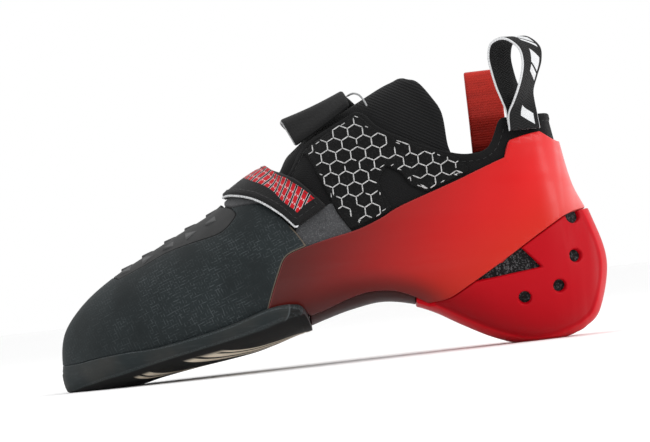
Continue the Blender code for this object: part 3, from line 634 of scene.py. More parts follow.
class Patch:
    """A piece of the last's surface, trimmed where its field is below zero.

    place, turn and depth are given for each point, depth being the distance in from the edge.
    """

    def __init__(self, last, field, spacing, span, turns, levels, squareness, growth):
        self.last = last
        self.squareness = squareness
        self.growth = growth
        self.field = field
        places = self.stations(span, spacing)
        reach = last.side(100.0) * 2.6 * (turns[1] - turns[0]) / 360.0
        angles = np.linspace(*turns, max(8, int(reach / spacing)) + 1)
        mesh = self.grid(places, angles)
        for level in (0.0, *levels):
            geometry = mesh.verts[:] + mesh.edges[:] + mesh.faces[:]
            bmesh.ops.bisect_plane(mesh, geom=geometry, dist=1e-6, clear_inner=(level == 0.0),
                                   plane_co=(0.0, 0.0, level / MILLIMETRE), plane_no=(0.0, 0.0, 1.0))
        mesh.verts.index_update()
        table = np.array([vert.co for vert in mesh.verts])
        self.faces = [[vert.index for vert in face.verts] for face in mesh.faces]
        self.edges = [[vert.index for vert in edge.verts] for edge in mesh.edges]
        mesh.free()
        self.place, self.turn, self.level = table[:, 0], table[:, 1], table[:, 2]
        self.rim = np.abs(self.level) < 1e-4
        inward = np.maximum(self.distance(self.place, self.turn), 0.01 * MILLIMETRE)
        self.depth = np.where(self.rim, 0.0, inward)

    def stations(self, span, spacing):
        """Section indices a spacing apart along the longest of four lines."""
        fine = np.linspace(self.last.place(span[0]), self.last.place(span[1]), 1500)
        lines = [self.last.skin(fine, np.full_like(fine, turn)) for turn in (0, 90, 180, -90)]
        steps = np.max([np.linalg.norm(np.diff(line, axis=0), axis=1) for line in lines], axis=0)
        run = np.concatenate([[0.0], np.cumsum(steps)])
        count = max(4, int(run[-1] / spacing))
        return np.interp(np.linspace(0.0, run[-1], count + 1), run, fine)

    def distance(self, place, turn):
        """Field at points of the surface that the patch lies on."""
        normals = self.last.normal(place, turn, self.squareness)
        spots = self.last.skin(place, turn, self.squareness) + normals * self.growth
        return self.field(place, turn, spots, normals)

    def grid(self, places, angles):
        """Grid in place, turn and distance, without the cells that lie wholly outside.

        Cells near the edge are split into triangles, so that every cut through them is clean.
        """
        place, turn = (axis.ravel() for axis in np.meshgrid(places, angles, indexing="ij"))
        depth = self.distance(place, turn) / MILLIMETRE
        count = len(angles)
        mesh = bmesh.new()
        kept = (depth > 0.0).reshape(len(places), count)
        cells = kept[:-1, :-1] | kept[1:, :-1] | kept[:-1, 1:] | kept[1:, 1:]
        points = {}
        for row, column in zip(*np.nonzero(cells)):
            corners = []
            for number in (row * count + column, (row + 1) * count + column,
                           (row + 1) * count + column + 1, row * count + column + 1):
                if number not in points:
                    points[number] = mesh.verts.new((place[number], turn[number], depth[number]))
                corners.append(points[number])
            if min(corner.co.z for corner in corners) > UNCUT_DEPTH:
                mesh.faces.new(corners)
            else:
                mesh.faces.new(corners[:3])
                mesh.faces.new((corners[0], corners[2], corners[3]))
        return mesh

    def points(self, height):
        """Points at a height over the last, which may differ from point to point."""
        normals = self.last.normal(self.place, self.turn, self.squareness)
        skin = self.last.skin(self.place, self.turn, self.squareness)
        return skin + normals * np.asarray(height)[..., None]

    def lines(self, level=0.0):
        """Ordered lines of point indices that run at one distance in from the edge."""
        on_line = np.abs(self.level - level / MILLIMETRE) < 1e-4
        neighbours = {}
        for start, end in self.edges:
            if on_line[start] and on_line[end]:
                neighbours.setdefault(start, []).append(end)
                neighbours.setdefault(end, []).append(start)
        loose = sorted(neighbours, key=lambda point: len(neighbours[point]))
        seen, found = set(), []
        for first in loose:
            if first in seen:
                continue
            line = [first]
            seen.add(first)
            while True:
                ahead = [point for point in neighbours[line[-1]] if point not in seen]
                if not ahead:
                    break
                line.append(ahead[0])
                seen.add(ahead[0])
            closed = len(line) > 2 and first in neighbours[line[-1]]
            found.append((line, closed))
        return found


def build_mesh(name, points, faces, run=None, weft=None):
    """Mesh data from points and faces, with values over its surface as attributes."""
    data = bpy.data.meshes.new(name)
    data.from_pydata(points, [], faces)
    for label, values in (("run", run), ("weft", weft)):
        if values is not None:
            layer = data.attributes.new(label, "FLOAT_VECTOR", "POINT")
            layer.data.foreach_set("vector", np.asarray(values, dtype=np.float32).ravel())
    mesh = bmesh.new()
    mesh.from_mesh(data)
    bmesh.ops.remove_doubles(mesh, verts=mesh.verts[:], dist=2e-7)
    bare = [edge for edge in mesh.edges if not edge.link_faces]
    bmesh.ops.delete(mesh, geom=bare, context="EDGES")
    loose = [vert for vert in mesh.verts if not vert.link_faces]
    bmesh.ops.delete(mesh, geom=loose, context="VERTS")
    mesh.to_mesh(data)
    mesh.free()
    return data


def shell(name, patch, outer, inner, weft=None):
    """Closed shell of a patch between its outer and its inner height over the last."""
    top, bottom = patch.points(outer), patch.points(inner)
    top[:, 2] = np.maximum(top[:, 2], 0.0)
    bottom[:, 2] = np.maximum(bottom[:, 2], 0.0)
    count = len(top)
    under = np.where(patch.rim, np.arange(count), np.arange(count) + count)
    kept = [face for face in patch.faces if not patch.rim[face].all()]
    faces = [face[::-1] for face in kept]
    faces += [[int(under[point]) for point in face] for face in kept]
    girth = patch.last.girth(patch.place, patch.turn)
    run = np.stack([top[:, 0], girth, patch.depth], axis=-1) / MILLIMETRE
    if weft is not None:
        weft = np.repeat(np.concatenate([weft, weft]), 3)
    return build_mesh(name, np.vstack([top, bottom]), faces, np.vstack([run, run]), weft)


def creased(last, patch):
    """Height that the soft troughs and ridges take from a patch."""
    spots = last.skin(patch.place, patch.turn, patch.squareness)
    total = np.zeros(len(spots))
    for crease in CREASES:
        start = np.array([last.along(crease.along), last.up(crease.up)])
        end = np.array([last.along(crease.to_along), last.up(crease.to_up)])
        edge = end - start
        flat = spots[:, (0, 2)] - start
        share = flat @ edge / (edge @ edge)
        off = np.linalg.norm(flat - np.clip(share, 0.0, 1.0)[:, None] * edge, axis=1)
        fade = soft_step(share, -0.35, 0.25) * (1.0 - soft_step(share, 0.75, 1.35))
        bell = np.exp(-(off / (crease.width * MILLIMETRE)) ** 2) * fade
        if crease.side:
            bell = bell * soft_step(spots[:, 1] * crease.side, 0.0, SIDE_FADE)
        total -= bell * crease.depth * MILLIMETRE
    return total


def cut_levels(radius, shares):
    """Depths at which an edge of a radius is cut."""
    return tuple(radius * share for share in shares)


def walls(count, sides, closed=False):
    """Corners of the faces between a number of rings: near, near, far and far again."""
    faces = []
    for number in range(count if closed else count - 1):
        near, far = number * sides, (number + 1) % count * sides
        for step in range(sides):
            following = (step + 1) % sides
            faces.append([near + step, near + following, far + following, far + step])
    return faces


def tube(points, radius, sides=8, closed=False):
    """Points and faces of a round tube along a line, with its ends drawn in."""
    line = np.asarray(points, dtype=float)
    count = len(line)
    ahead = np.roll(line, -1, axis=0) - np.roll(line, 1, axis=0)
    if not closed:
        ahead[0], ahead[-1] = line[1] - line[0], line[-1] - line[-2]
    ahead /= np.maximum(np.linalg.norm(ahead, axis=1, keepdims=True), 1e-12)
    across = np.cross(ahead[0], (0.3, 0.5, 0.8))
    rings = []
    for number in range(count):
        across = across - ahead[number] * (across @ ahead[number])
        across /= max(np.linalg.norm(across), 1e-12)
        upward = np.cross(ahead[number], across)
        tip = not closed and number in (0, count - 1)
        reach = radius * (0.35 if tip else 1.0)
        turns = np.arange(sides) * (2.0 * math.pi / sides)
        rings.append(line[number] + reach * (np.cos(turns)[:, None] * across
                                             + np.sin(turns)[:, None] * upward))
    faces = walls(count, sides, closed)
    if not closed:
        faces.append(list(range(sides))[::-1])
        faces.append([(count - 1) * sides + step for step in range(sides)])
    return np.vstack(rings), faces


def joined(parts):
    """Points and faces of several parts as one list each."""
    points, faces, offset = [], [], 0
    for some, their in parts:
        points.append(some)
        faces += [[offset + number for number in face] for face in their]
        offset += len(some)
    return np.vstack(points), faces


def evenly(line, spacing, closed=False):
    """Line resampled at an even spacing."""
    line = np.asarray(line, dtype=float)
    if closed:
        line = np.vstack([line, line[:1]])
    steps = np.linalg.norm(np.diff(line, axis=0), axis=1)
    run = np.concatenate([[0.0], np.cumsum(steps)])
    count = max(2, int(run[-1] / spacing))
    wanted = np.linspace(0.0, run[-1], count + 1)
    return np.stack([np.interp(wanted, run, line[:, axis]) for axis in range(3)], axis=-1)


def stitches(line, sizes, closed=False):
    """Sewing stitches along a line, as many short threads."""
    step = sizes.stitch + sizes.stitch_gap
    fine = evenly(line, step / 8.0, closed)
    return [tube(fine[start:start + 6], sizes.thread, sides=6)
            for start in range(0, len(fine) - 6, 8)]


def ribbon(edges, thickness, across=14, bulge=0.0):
    """Strap between two edge lines, with rounded edges, as points, faces and its own run."""
    front = np.array([pair[0] for pair in edges])
    rear = np.array([pair[1] for pair in edges])
    middle = 0.5 * (front + rear)
    ahead = np.gradient(middle, axis=0)
    normal = np.cross(ahead, rear - front)
    normal /= np.linalg.norm(normal, axis=1, keepdims=True)
    width = np.linalg.norm(rear - front, axis=1)
    run = np.concatenate([[0.0], np.cumsum(np.linalg.norm(np.diff(middle, axis=0), axis=1))])
    share = 0.5 - 0.5 * np.cos(np.linspace(0.0, math.pi, across + 1))
    points, runs, count = [], [], len(edges)
    for number in range(count):
        inward = np.minimum(share, 1.0 - share) * width[number]
        end = min(run[number], run[-1] - run[number])
        half = 0.5 * thickness * rounded(inward, 0.5 * thickness) * rounded(end + 2e-4, thickness)
        line = front[number] + share[:, None] * (rear[number] - front[number])
        arch = bulge * np.sin(share * math.pi)
        for sign in (1.0, -1.0):
            lift = (arch + sign * half)[:, None] * normal[number]
            ring = line + lift
            points.append(ring if sign > 0 else ring[::-1][1:-1])
        along = np.full(across + 1, run[number])
        ring_run = np.stack([along, share * width[number], inward], axis=-1) / MILLIMETRE
        runs.append(np.vstack([ring_run, ring_run[::-1][1:-1]]))
    sides = 2 * across
    faces = [[a, d, c, b] for a, b, c, d in walls(count, sides)]
    faces.append(list(range(sides)))
    faces.append([(count - 1) * sides + step for step in reversed(range(sides))])
    return np.vstack(points), faces, np.vstack(runs)


def add_piece(name, data, material, slot, nodes=(), crease=50.0):
    """Put a finished piece into the scene, on its body; the slot is not used."""
    item = bpy.data.objects.new(name, data)
    bpy.context.scene.collection.objects.link(item)
    data.materials.append(material)
    data.shade_smooth()
    data.set_sharp_from_angle(angle=math.radians(crease))
    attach(item, "root")
    if nodes:
        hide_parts(*nodes)
    return item


def add_parts(name, parts, material, slot, crease=50.0):
    """Put many small parts into the scene as one piece."""
    points, faces = joined(parts)
    return add_piece(name, build_mesh(name, points, faces), material, slot, crease=crease)


def toned(share, shade):
    """Colour times a share."""
    return tuple(share * value for value in shade)


class Wire:
    """A node's output that takes part in Python arithmetic."""

    def __init__(self, finish, socket):
        self.finish = finish
        self.socket = socket

    def maths(self, operation, first, second=0.0):
        """Math node of one or two values."""
        return self.finish.node("Math", {"operation": operation}, {0: first, 1: second})

    def __add__(self, other):
        return self.maths("ADD", self, other)

    def __radd__(self, other):
        return self.maths("ADD", other, self)

    def __sub__(self, other):
        return self.maths("SUBTRACT", self, other)

    def __rsub__(self, other):
        return self.maths("SUBTRACT", other, self)

    def __mul__(self, other):
        return self.maths("MULTIPLY", self, other)

    def __rmul__(self, other):
        return self.maths("MULTIPLY", other, self)

    def __truediv__(self, other):
        return self.maths("DIVIDE", self, other)

    def __pow__(self, other):
        return self.maths("POWER", self, other)

    def __abs__(self):
        return self.maths("ABSOLUTE", self)

    def sine(self):
        """Sine of the value in radians."""
        return self.maths("SINE", self)

    def wave(self, period):
        """Sine wave of a period."""
        return (self * (2.0 * math.pi / period)).sine()

    def wrapped(self, period):
        """Value folded into a period."""
        return self.maths("FLOORED_MODULO", self, period)

    def either(self, other):
        """Larger of two values."""
        return self.maths("MAXIMUM", self, other)

    def step(self, low, high):
        """Smooth change from 0 at low to 1 at high."""
        sockets = {"Value": self, "From Min": low, "From Max": high, "To Min": 0.0, "To Max": 1.0}
        return self.finish.node("MapRange", {"interpolation_type": "SMOOTHSTEP"}, sockets)

    def band(self, middle, half, soft):
        """1 within half of a middle value, fading over soft."""
        return 1.0 - abs(self - middle).step(half, half + soft)


class Finish:
    """A material under construction."""

    def __init__(self, name, roughness, coat=0.0, coat_roughness=0.2, sheen=0.0, specular=0.5):
        self.material = bpy.data.materials.new(name)
        self.material.use_nodes = True
        self.tree = self.material.node_tree
        self.shader = self.tree.nodes["Principled BSDF"]
        for socket, value in (("Roughness", roughness), ("Coat Weight", coat),
                              ("Coat Roughness", coat_roughness), ("Sheen Weight", sheen),
                              ("Specular IOR Level", specular)):
            self.shader.inputs[socket].default_value = value
        object_place = self.node("TexCoord", output="Object")
        self.place = self.stretched(object_place, (1.0 / MILLIMETRE,) * 3)

    def node(self, kind, settings=None, sockets=None, output=0):
        """Add a node: its settings first, then the values or links of its sockets."""
        made = self.tree.nodes.new("ShaderNode" + kind)
        for key, value in (settings or {}).items():
            setattr(made, key, value)
        for key, value in (sockets or {}).items():
            self.feed(made.inputs[key], value)
        return Wire(self, made.outputs[output])

    def feed(self, socket, value):
        """Link a wire to a socket, or set the socket's own value."""
        if isinstance(value, Wire):
            self.tree.links.new(value.socket, socket)
        elif socket.type == "RGBA":
            socket.default_value = (*value, 1.0)
        else:
            socket.default_value = value

    def run(self, name="run"):
        """Place on the piece's surface in millimetres: along, around, in from the edge."""
        return self.parts(self.node("Attribute", {"attribute_name": name}, output="Vector"))

    def parts(self, vector=None):
        """The three values of a vector, or of the place in the shoe in millimetres."""
        split = self.node("SeparateXYZ", sockets={0: self.place if vector is None else vector})
        outputs = split.socket.node.outputs
        return [Wire(self, outputs[number]) for number in range(3)]

    def stretched(self, vector, scale):
        """Vector multiplied on each axis."""
        return self.node("VectorMath", {"operation": "MULTIPLY"}, {0: vector, 1: scale})

    def noise(self, scale, detail=2.0, roughness=0.5, stretch=None):
        """Noise from 0 to 1 over the shoe's millimetres."""
        vector = self.place if stretch is None else self.stretched(self.place, stretch)
        sockets = {"Vector": vector, "Scale": scale, "Detail": detail, "Roughness": roughness}
        return self.node("TexNoise", None, sockets)

    def cells(self, scale):
        """Distance to the nearest of scattered points."""
        return self.node("TexVoronoi", None, {"Vector": self.place, "Scale": scale})

    def mix(self, share, first, second):
        """Colour between two colours."""
        settings = {"data_type": "RGBA", "clamp_factor": True}
        return self.node("Mix", settings, {0: share, 6: first, 7: second}, output=2)

    def colour(self, value):
        """Set or link the base colour."""
        self.feed(self.shader.inputs["Base Color"], value)

    def set(self, socket, value):
        """Link a varying value to one of the shader's sockets."""
        self.feed(self.shader.inputs[socket], value)

    def bump(self, height, distance, strength=1.0):
        """Relief whose full height is a distance in millimetres."""
        sockets = {"Height": height, "Distance": distance * MILLIMETRE, "Strength": strength}
        self.feed(self.shader.inputs["Normal"], self.node("Bump", None, sockets))


def rand_finish(colours):
    """Toe rubber with the imprint of canvas, patchy wear and a tan rear edge."""
    finish = Finish("rand_rubber", 0.60, specular=0.14)
    along, _, up = finish.parts()
    depth = finish.run()[2]
    clouds = finish.noise(0.045, 3.0, 0.6)
    grain = finish.noise(1.9, 4.0, 0.65)
    bend = 1.6 * finish.noise(0.12, 2.0)
    lengthwise = 0.93 * along + 0.36 * up + bend
    crosswise = 0.93 * up - 0.36 * along + bend
    weft = lengthwise.wave(1.25).step(0.35, 0.95)
    warp = crosswise.wave(1.25).step(0.35, 0.95)
    upright = finish.noise(1.0, 3.0, 0.6, stretch=(1.1, 1.1, 0.20))
    level = finish.noise(1.0, 3.0, 0.6, stretch=(0.16, 0.4, 1.1))
    threads = (weft * upright.step(0.46, 0.66)).either(warp * level.step(0.46, 0.66))
    worn = clouds.step(0.30, 0.62) * (0.35 + 0.65 * along.step(-205.0, -165.0))
    imprint = threads * worn
    rear = depth.band(0.40, 0.12, 0.3) * along.step(-126.0, -119.0) * up.step(62.5, 60.5)
    dark = toned(0.62, colours.rand)
    shade = finish.mix(clouds.step(0.25, 0.75), dark, colours.rand)
    shade = finish.mix((imprint * 0.62 + grain.step(0.6, 0.9) * 0.10), shade, colours.hatch)
    finish.colour(finish.mix(rear * 0.8, shade, colours.tan))
    finish.set("Roughness", 0.56 + 0.16 * grain)
    finish.bump(threads * (0.25 + 0.75 * worn) + grain * 0.3, 0.10)
    return finish.material


def patch_finish(colours, name, shade, edged):
    """Rubber of the toe patch and its studs, with dust in its grain and painted edge shade if edged.
    """
    finish = Finish(name, 0.62, specular=0.2)
    clouds = finish.noise(0.11, 3.0)
    grain = finish.noise(2.6, 4.0, 0.7)
    shade = finish.mix(clouds.step(0.3, 0.75), toned(0.7, shade), shade)
    shade = finish.mix(grain.step(0.55, 0.85) * 0.25, shade, colours.hatch)
    if edged:
        # Painted shade: a dark line along the patch's edge where it meets the rand.
        depth = finish.run()[2]
        shade = finish.mix(1.0 - depth.step(0.55, 0.85), shade, colours.edge)
    finish.colour(shade)
    finish.set("Roughness", 0.55 + 0.2 * grain)
    finish.bump(grain, 0.05)
    return finish.material


def sole_finish(colours):
    """Half sole: a wall like the rand, a dark underside with cream inlays, a worn line between."""
    finish = Finish("sole_rubber", 0.55, specular=0.14)
    along, side, up = finish.parts()
    grain = finish.noise(2.1, 4.0, 0.65)
    clouds = finish.noise(0.06, 2.0)
    smears = finish.noise(1.0, 3.0, stretch=(0.05, 0.3, 1.2))
    depth = finish.run()[2]
    wear = depth.band(0.30, 0.15, 0.3) * grain.step(0.42, 0.58)
    rear = along.step(-122.0, -117.0)
    inner = (((along + 118.0) / 8.6) ** 2.0 + ((up - 27.0) / 8.2) ** 2.0) ** 0.5
    outer = (((along + 116.0) / 12.0) ** 2.0 + ((up - 26.0) / 8.0) ** 2.0) ** 0.5
    tips = (inner.band(1.0, 0.015, 0.04) * 0.8).either(outer.band(1.0, 0.010, 0.03) * 0.4)
    facing = finish.parts(finish.node("NewGeometry", output="Normal"))[2]
    beneath = 1.0 - facing.step(-0.76, -0.70)
    corner = facing.band(-0.66, 0.03, 0.05) * grain.step(0.42, 0.6)
    slant = along - 1.3 * side
    stripes = slant.band(-150.0, 7.0, 0.4).either(slant.band(-106.0, 11.0, 0.4))
    slits = slant.band(-151.0, 1.3, 0.3).either(slant.band(-109.0, 1.6, 0.3))
    slits = slits.either(slant.band(-99.0, 1.2, 0.3)) * side.band(-16.0, 17.0, 0.5)
    inlay = (1.0 - facing.step(-0.95, -0.88)) * stripes * (1.0 - slits) * side.band(-6.0, 33.0, 1.5)
    wall = finish.mix(clouds.step(0.25, 0.75), colours.rand, colours.wall)
    wall = finish.mix(rear * inner.step(0.99, 1.03) * 0.75, wall, colours.sole)
    wall = finish.mix(rear * outer.step(0.99, 1.03) * 0.75, wall, colours.arch)
    worn = wear * 0.7 + corner * 0.4 + smears.step(0.5, 0.8) * 0.16
    wall = finish.mix(worn.either(rear * tips), wall, colours.hatch)
    under = finish.mix(grain.step(0.5, 0.8) * 0.3, colours.sole, colours.rand)
    cream = finish.mix(grain.step(0.45, 0.75) * 0.22, colours.graphic, colours.patch)
    finish.colour(finish.mix(inlay, finish.mix(beneath, wall, under), cream))
    finish.set("Roughness", 0.50 + 0.2 * grain)
    finish.bump(grain * 0.6 + smears * 0.5, 0.07)
    return finish.material


def band_finish(colours):
    """Gloss rubber band fading from maroon to red, partly painted shade, with painted highlights."""
    finish = Finish("band_rubber", 0.36, 0.16, 0.20, specular=0.16)
    along, _, up = finish.parts()
    drift = finish.noise(0.012, 2.0) - 0.5
    # The fade from maroon at the front to red at the heel is partly the band's own colour and partly
    # painted shade, darker towards the front and the bottom.
    fade = (along - 0.41 * up + 14.0 * drift).step(-135.0, -22.0)
    low = (up - 0.42 * along + 14.0 * drift).step(74.0, 34.0)
    bright = finish.mix(low, colours.red, colours.ember)
    shade = finish.mix(fade, colours.maroon, bright)
    # Painted highlight: pale pink towards the top of the back of the band.
    heel = (along + 6.0 * drift).step(2.0, 27.0) * up.step(44.0, 60.0) * 0.60
    shade = finish.mix(heel, shade, colours.blush)
    # Painted shade: the band is darker low down along the arch.
    bow = (along + 75.0) / 12.0
    foot = (up + 1.34 * bow * bow - 29.0).step(12.0, 1.0) * (1.0 - along.step(-56.0, -30.0))
    shade = finish.mix(foot * 0.72, shade, colours.maroon)
    grain = finish.noise(2.4, 3.0, 0.6)
    smears = finish.noise(1.0, 3.0, stretch=(0.02, 0.05, 0.18))
    # Painted highlight: a faint pale line along the band's rounded edge.
    edge = finish.run()[2].band(0.25, 0.1, 0.4)
    finish.colour(finish.mix(edge * 0.10, shade, colours.blush))
    finish.set("Roughness", 0.30 + 0.10 * grain + 0.12 * smears.step(0.45, 0.7))
    finish.set("Coat Weight", 0.20 - 0.10 * smears.step(0.4, 0.75))
    finish.bump(grain * 0.4 + smears, 0.05)
    return finish.material


def arch_finish(colours):
    """Dark maroon rubber under the arch."""
    finish = Finish("arch_rubber", 0.50, 0.05, 0.3, specular=0.2)
    clouds = finish.noise(0.05, 3.0)
    grain = finish.noise(2.2, 3.0, 0.6)
    dark = toned(0.40, colours.maroon)
    finish.colour(finish.mix(clouds.step(0.3, 0.75), dark, toned(0.7, colours.maroon)))
    finish.set("Roughness", 0.46 + 0.16 * grain)
    finish.bump(grain, 0.05)
    return finish.material


def cup_finish(colours, rim_width):
    """Satin moulded crimson heel, fine speckle, painted shadow low in front, painted rim highlight.
    """
    finish = Finish("heel_rubber", 0.46, 0.03, 0.3, specular=0.09)
    along, _, up = finish.parts()
    grain = finish.noise(2.8, 4.0, 0.7)
    clouds = finish.noise(0.045, 2.0)
    shadow = (along + 1.1 * up + 10.0 * clouds).step(14.0, -22.0)
    dark = toned(0.55, colours.crimson)
    shade = finish.mix(shadow * 0.8, colours.crimson, dark)
    # Painted highlight: the raised rim is painted a brighter crimson.
    rim = 1.0 - finish.run("weft")[0].step(rim_width - 0.5, rim_width + 0.2)
    shade = finish.mix(rim, shade, colours.rim)
    finish.colour(finish.mix(grain.step(0.62, 0.9) * 0.10, shade, colours.blush))
    finish.set("Roughness", 0.36 + 0.16 * grain)
    finish.bump(grain, 0.05)
    return finish.material


def textile_finish(colours):
    """Black textile of the upper, with grey flecked mesh round the heel."""
    finish = Finish("upper_textile", 0.85, sheen=0.04, specular=0.1)
    along, _, up = finish.parts()
    warp, weft, _ = finish.run()
    weave = (warp * 5.2).sine() * (weft * 5.2).sine()
    fuzz = finish.noise(1.6, 4.0, 0.7)
    flecks = finish.noise(1.15, 3.0, 0.75)
    heel = along.step(-46.0, -40.0) * (1.0 - up.step(52.0, 60.0))
    pale = toned(2.6, colours.textile)
    shade = finish.mix(fuzz.step(0.45, 0.85) * 0.55, colours.textile, pale)
    finish.colour(finish.mix(heel * flecks.step(0.50, 0.66), shade, colours.speckle))
    finish.set("Roughness", 0.80 + 0.12 * fuzz)
    finish.bump(weave * 0.35 + fuzz * 0.8 + heel * flecks, 0.16)
    return finish.material


def knit_finish(colours):
    """Rib knit of the tongue: slanting ribs over its rear half, plain knit in front."""
    finish = Finish("knit", 0.88, sheen=0.05, specular=0.1)
    along, _, up = finish.parts()
    ribbed = (along + 0.9 * up).step(28.0, 36.0)
    rib = (0.5 * along + 0.86 * up).wave(1.25)
    loops = (0.86 * along - 0.5 * up).wave(0.8)
    fuzz = finish.noise(1.5, 4.0, 0.7)
    clouds = finish.noise(0.08, 2.0)
    pale = toned(2.4, colours.knit)
    light = ribbed * rib.step(0.1, 0.9) * 0.55 + fuzz.step(0.5, 0.85) * 0.35
    finish.colour(finish.mix(light * clouds.step(0.1, 0.6), colours.knit, pale))
    relief = ribbed * (rib * 0.5 + 0.5 + loops * 0.15) + (1.0 - ribbed) * loops * 0.12
    finish.bump(relief + fuzz * 0.5, 0.22)
    return finish.material


def board_finish(colours):
    """Insole: dark brushed board with pressed dots."""
    finish = Finish("insole_board", 0.9, sheen=0.05, specular=0.1)
    fuzz = finish.noise(1.2, 4.0, 0.7)
    dots = finish.cells(0.4).step(0.25, 0.5)
    finish.colour(finish.mix(fuzz.step(0.3, 0.8), colours.board, colours.fibre))
    finish.bump(fuzz * 0.5 + dots * 0.6, 0.15)
    return finish.material


def mesh_finish(colours):
    """Black mesh between the raised hexagons, mottled."""
    finish = Finish("hexagon_mesh", 0.80, sheen=0.03, specular=0.12)
    fuzz = finish.noise(1.1, 4.0, 0.75)
    pits = finish.cells(0.95)
    dark = toned(0.5, colours.textile)
    pale = toned(3.4, colours.textile)
    finish.colour(finish.mix(fuzz.step(0.46, 0.80) * pits.step(0.2, 0.7), dark, pale))
    finish.set("Roughness", 0.70 + 0.2 * fuzz)
    finish.bump(pits * 0.8 + fuzz * 0.8, 0.28)
    return finish.material


def felt_finish(colours):
    """Grey felt with pale hairs."""
    finish = Finish("grey_felt", 0.92, sheen=0.08, specular=0.1)
    hairs = finish.noise(1.4, 5.0, 0.8)
    clouds = finish.noise(0.3, 2.0)
    shade = finish.mix(hairs.step(0.48, 0.75), colours.felt, colours.felt_fleck)
    finish.colour(finish.mix(clouds.step(0.6, 0.8) * 0.3, shade, colours.textile))
    finish.bump(hairs, 0.25)
    return finish.material


def strap_finish(colours, name, printed):
    """Closure strap: fine woven webbing with a plain hem, with slanting red bars if printed."""
    finish = Finish(name, 0.72, sheen=0.04, specular=0.14)
    along, around, _ = finish.run()
    fuzz = finish.noise(1.5, 4.0, 0.7)
    weave = (along * 6.0).sine() * (around * 6.0).sine()
    pale = toned(3.0, colours.strap)
    shade = finish.mix(fuzz.step(0.45, 0.85) * 0.6, colours.strap, pale)
    relief = weave * 0.4 + fuzz * 0.6
    if printed:
        across = finish.run("weft")[0]
        field = across.band(0.55, 0.27, 0.02) * around.band(17.0, 33.0, 0.3)
        lean = around + 0.95 * along
        bars = lean.wave(6.0)
        dots = lean.wave(2.0).step(0.45, 0.75)
        dots = dots * across.band(0.40, 0.018, 0.01).either(across.band(0.62, 0.018, 0.01))
        lines = bars.band(-0.60, 0.10, 0.08) * field
        red = field * bars.step(-0.42, -0.32)
        shade = finish.mix(red, shade, colours.print_red)
        shade = finish.mix(lines.either(red * dots) * 0.85, shade, colours.piping)
        relief = relief + red * 0.6 + lines * 0.8
    finish.colour(shade)
    finish.bump(relief, 0.12)
    return finish.material


def loop_finish(colours):
    """Ribbed webbing of the pull loop: pale edges and a few pale blocks on its outer face."""
    finish = Finish("loop_webbing", 0.7, sheen=0.04, specular=0.14)
    along, across, depth = finish.run()
    fuzz = finish.noise(1.6, 4.0, 0.7)
    zigzag = abs((across / 3.0).wrapped(2.0) - 1.0) * 1.6
    ribs = (along + zigzag).wave(1.3)
    pale = toned(3.4, colours.strap)
    shade = finish.mix(ribs.step(0.0, 0.9) * 0.5 + fuzz.step(0.5, 0.9) * 0.3, colours.strap, pale)
    lean = along + 0.7 * across
    blocks = lean.band(13.0, 2.4, 0.2).either(lean.band(36.0, 5.0, 0.2))
    blocks = blocks.either(lean.band(49.0, 3.0, 0.2)) * across.band(9.4, 3.0, 0.3)
    blocks = blocks * (1.0 - lean.band(34.5, 0.45, 0.2)) * (1.0 - lean.band(48.0, 0.4, 0.2))
    edge = 1.0 - depth.step(0.22, 0.50)
    shade = finish.mix(blocks.either(edge) * 0.9, shade, colours.piping)
    finish.colour(shade)
    finish.bump(ribs * 0.5 + fuzz * 0.4, 0.22)
    return finish.material


def tab_finish(colours):
    """Red ribbed webbing of the pull tab, with painted shade low down and in its folds."""
    finish = Finish("red_webbing", 0.50, sheen=0.05, specular=0.25)
    up = finish.parts()[2]
    ribs = up.wave(1.1)
    fuzz = finish.noise(1.2, 4.0, 0.7)
    folds = finish.noise(1.0, 2.0, stretch=(0.06, 0.1, 0.35))
    # Painted shade: a darker copy of the red towards the tab's bottom and in the hollows of its
    # folds.
    dark = toned(0.42, colours.tab_red)
    light = folds.step(0.3, 0.7) * 0.35 + up.step(77.0, 108.0) * 0.75
    shade = finish.mix(light, dark, colours.tab_red)
    finish.colour(finish.mix(fuzz.step(0.5, 0.9) * 0.12, shade, colours.rim))
    finish.bump(ribs * 0.18 + fuzz * 0.3 + folds * 2.0, 0.12)
    return finish.material


def plain_thread(name, shade, roughness=0.55):
    """Thread, piping or raised line of one colour with slight grain."""
    finish = Finish(name, roughness, specular=0.4)
    grain = finish.noise(1.7, 3.0, 0.7)
    dull = toned(0.45, shade)
    finish.colour(finish.mix(grain.step(0.36, 0.62), dull, shade))
    finish.bump(grain, 0.06)
    return finish.material


class Shop:
    """What every operator needs: the sizes, the last and its fields."""

    def __init__(self, context):
        scene = context.scene
        self.form = scene.shoe_form
        self.trim = scene.shoe_trim
        self.colours = scene.shoe_colours
        self.last = Last(self.form)
        self.fields = Fields(self.last, self.form.seam)

    def patch(self, name, field, levels, growth=0.0, squareness=None):
        """Patch of the last from which a piece is made."""
        cut = CUTS[name]
        return Patch(self.last, field, self.form.facet * cut.spacing, cut.span, cut.turns, levels,
                     squareness, growth)

    def overlay(self, name, field, thickness, material, slot, start=None, relief=None, levels=(),
                weft=None, replaces=True):
        """Piece that lies on the upper, with a rounded edge and the creases of what it covers."""
        edge = CUTS[name].edge
        start = self.form.clearance if start is None else start
        patch = self.patch(name, field, cut_levels(edge, EDGE_CUTS) + levels, start + thickness)
        base = start + creased(self.last, patch)
        top = base + thickness * rounded(patch.depth, edge)
        if relief is not None:
            top += relief(patch)
        data = shell(name, patch, top, base, None if weft is None else weft(patch))
        add_piece(name, data, material, slot, (name,) if replaces else ())
        return patch


class ShoeOperator:
    """What the operators share."""

    bl_options = {"REGISTER", "UNDO"}

    def execute(self, context):
        self.make(Shop(context))
        return {"FINISHED"}


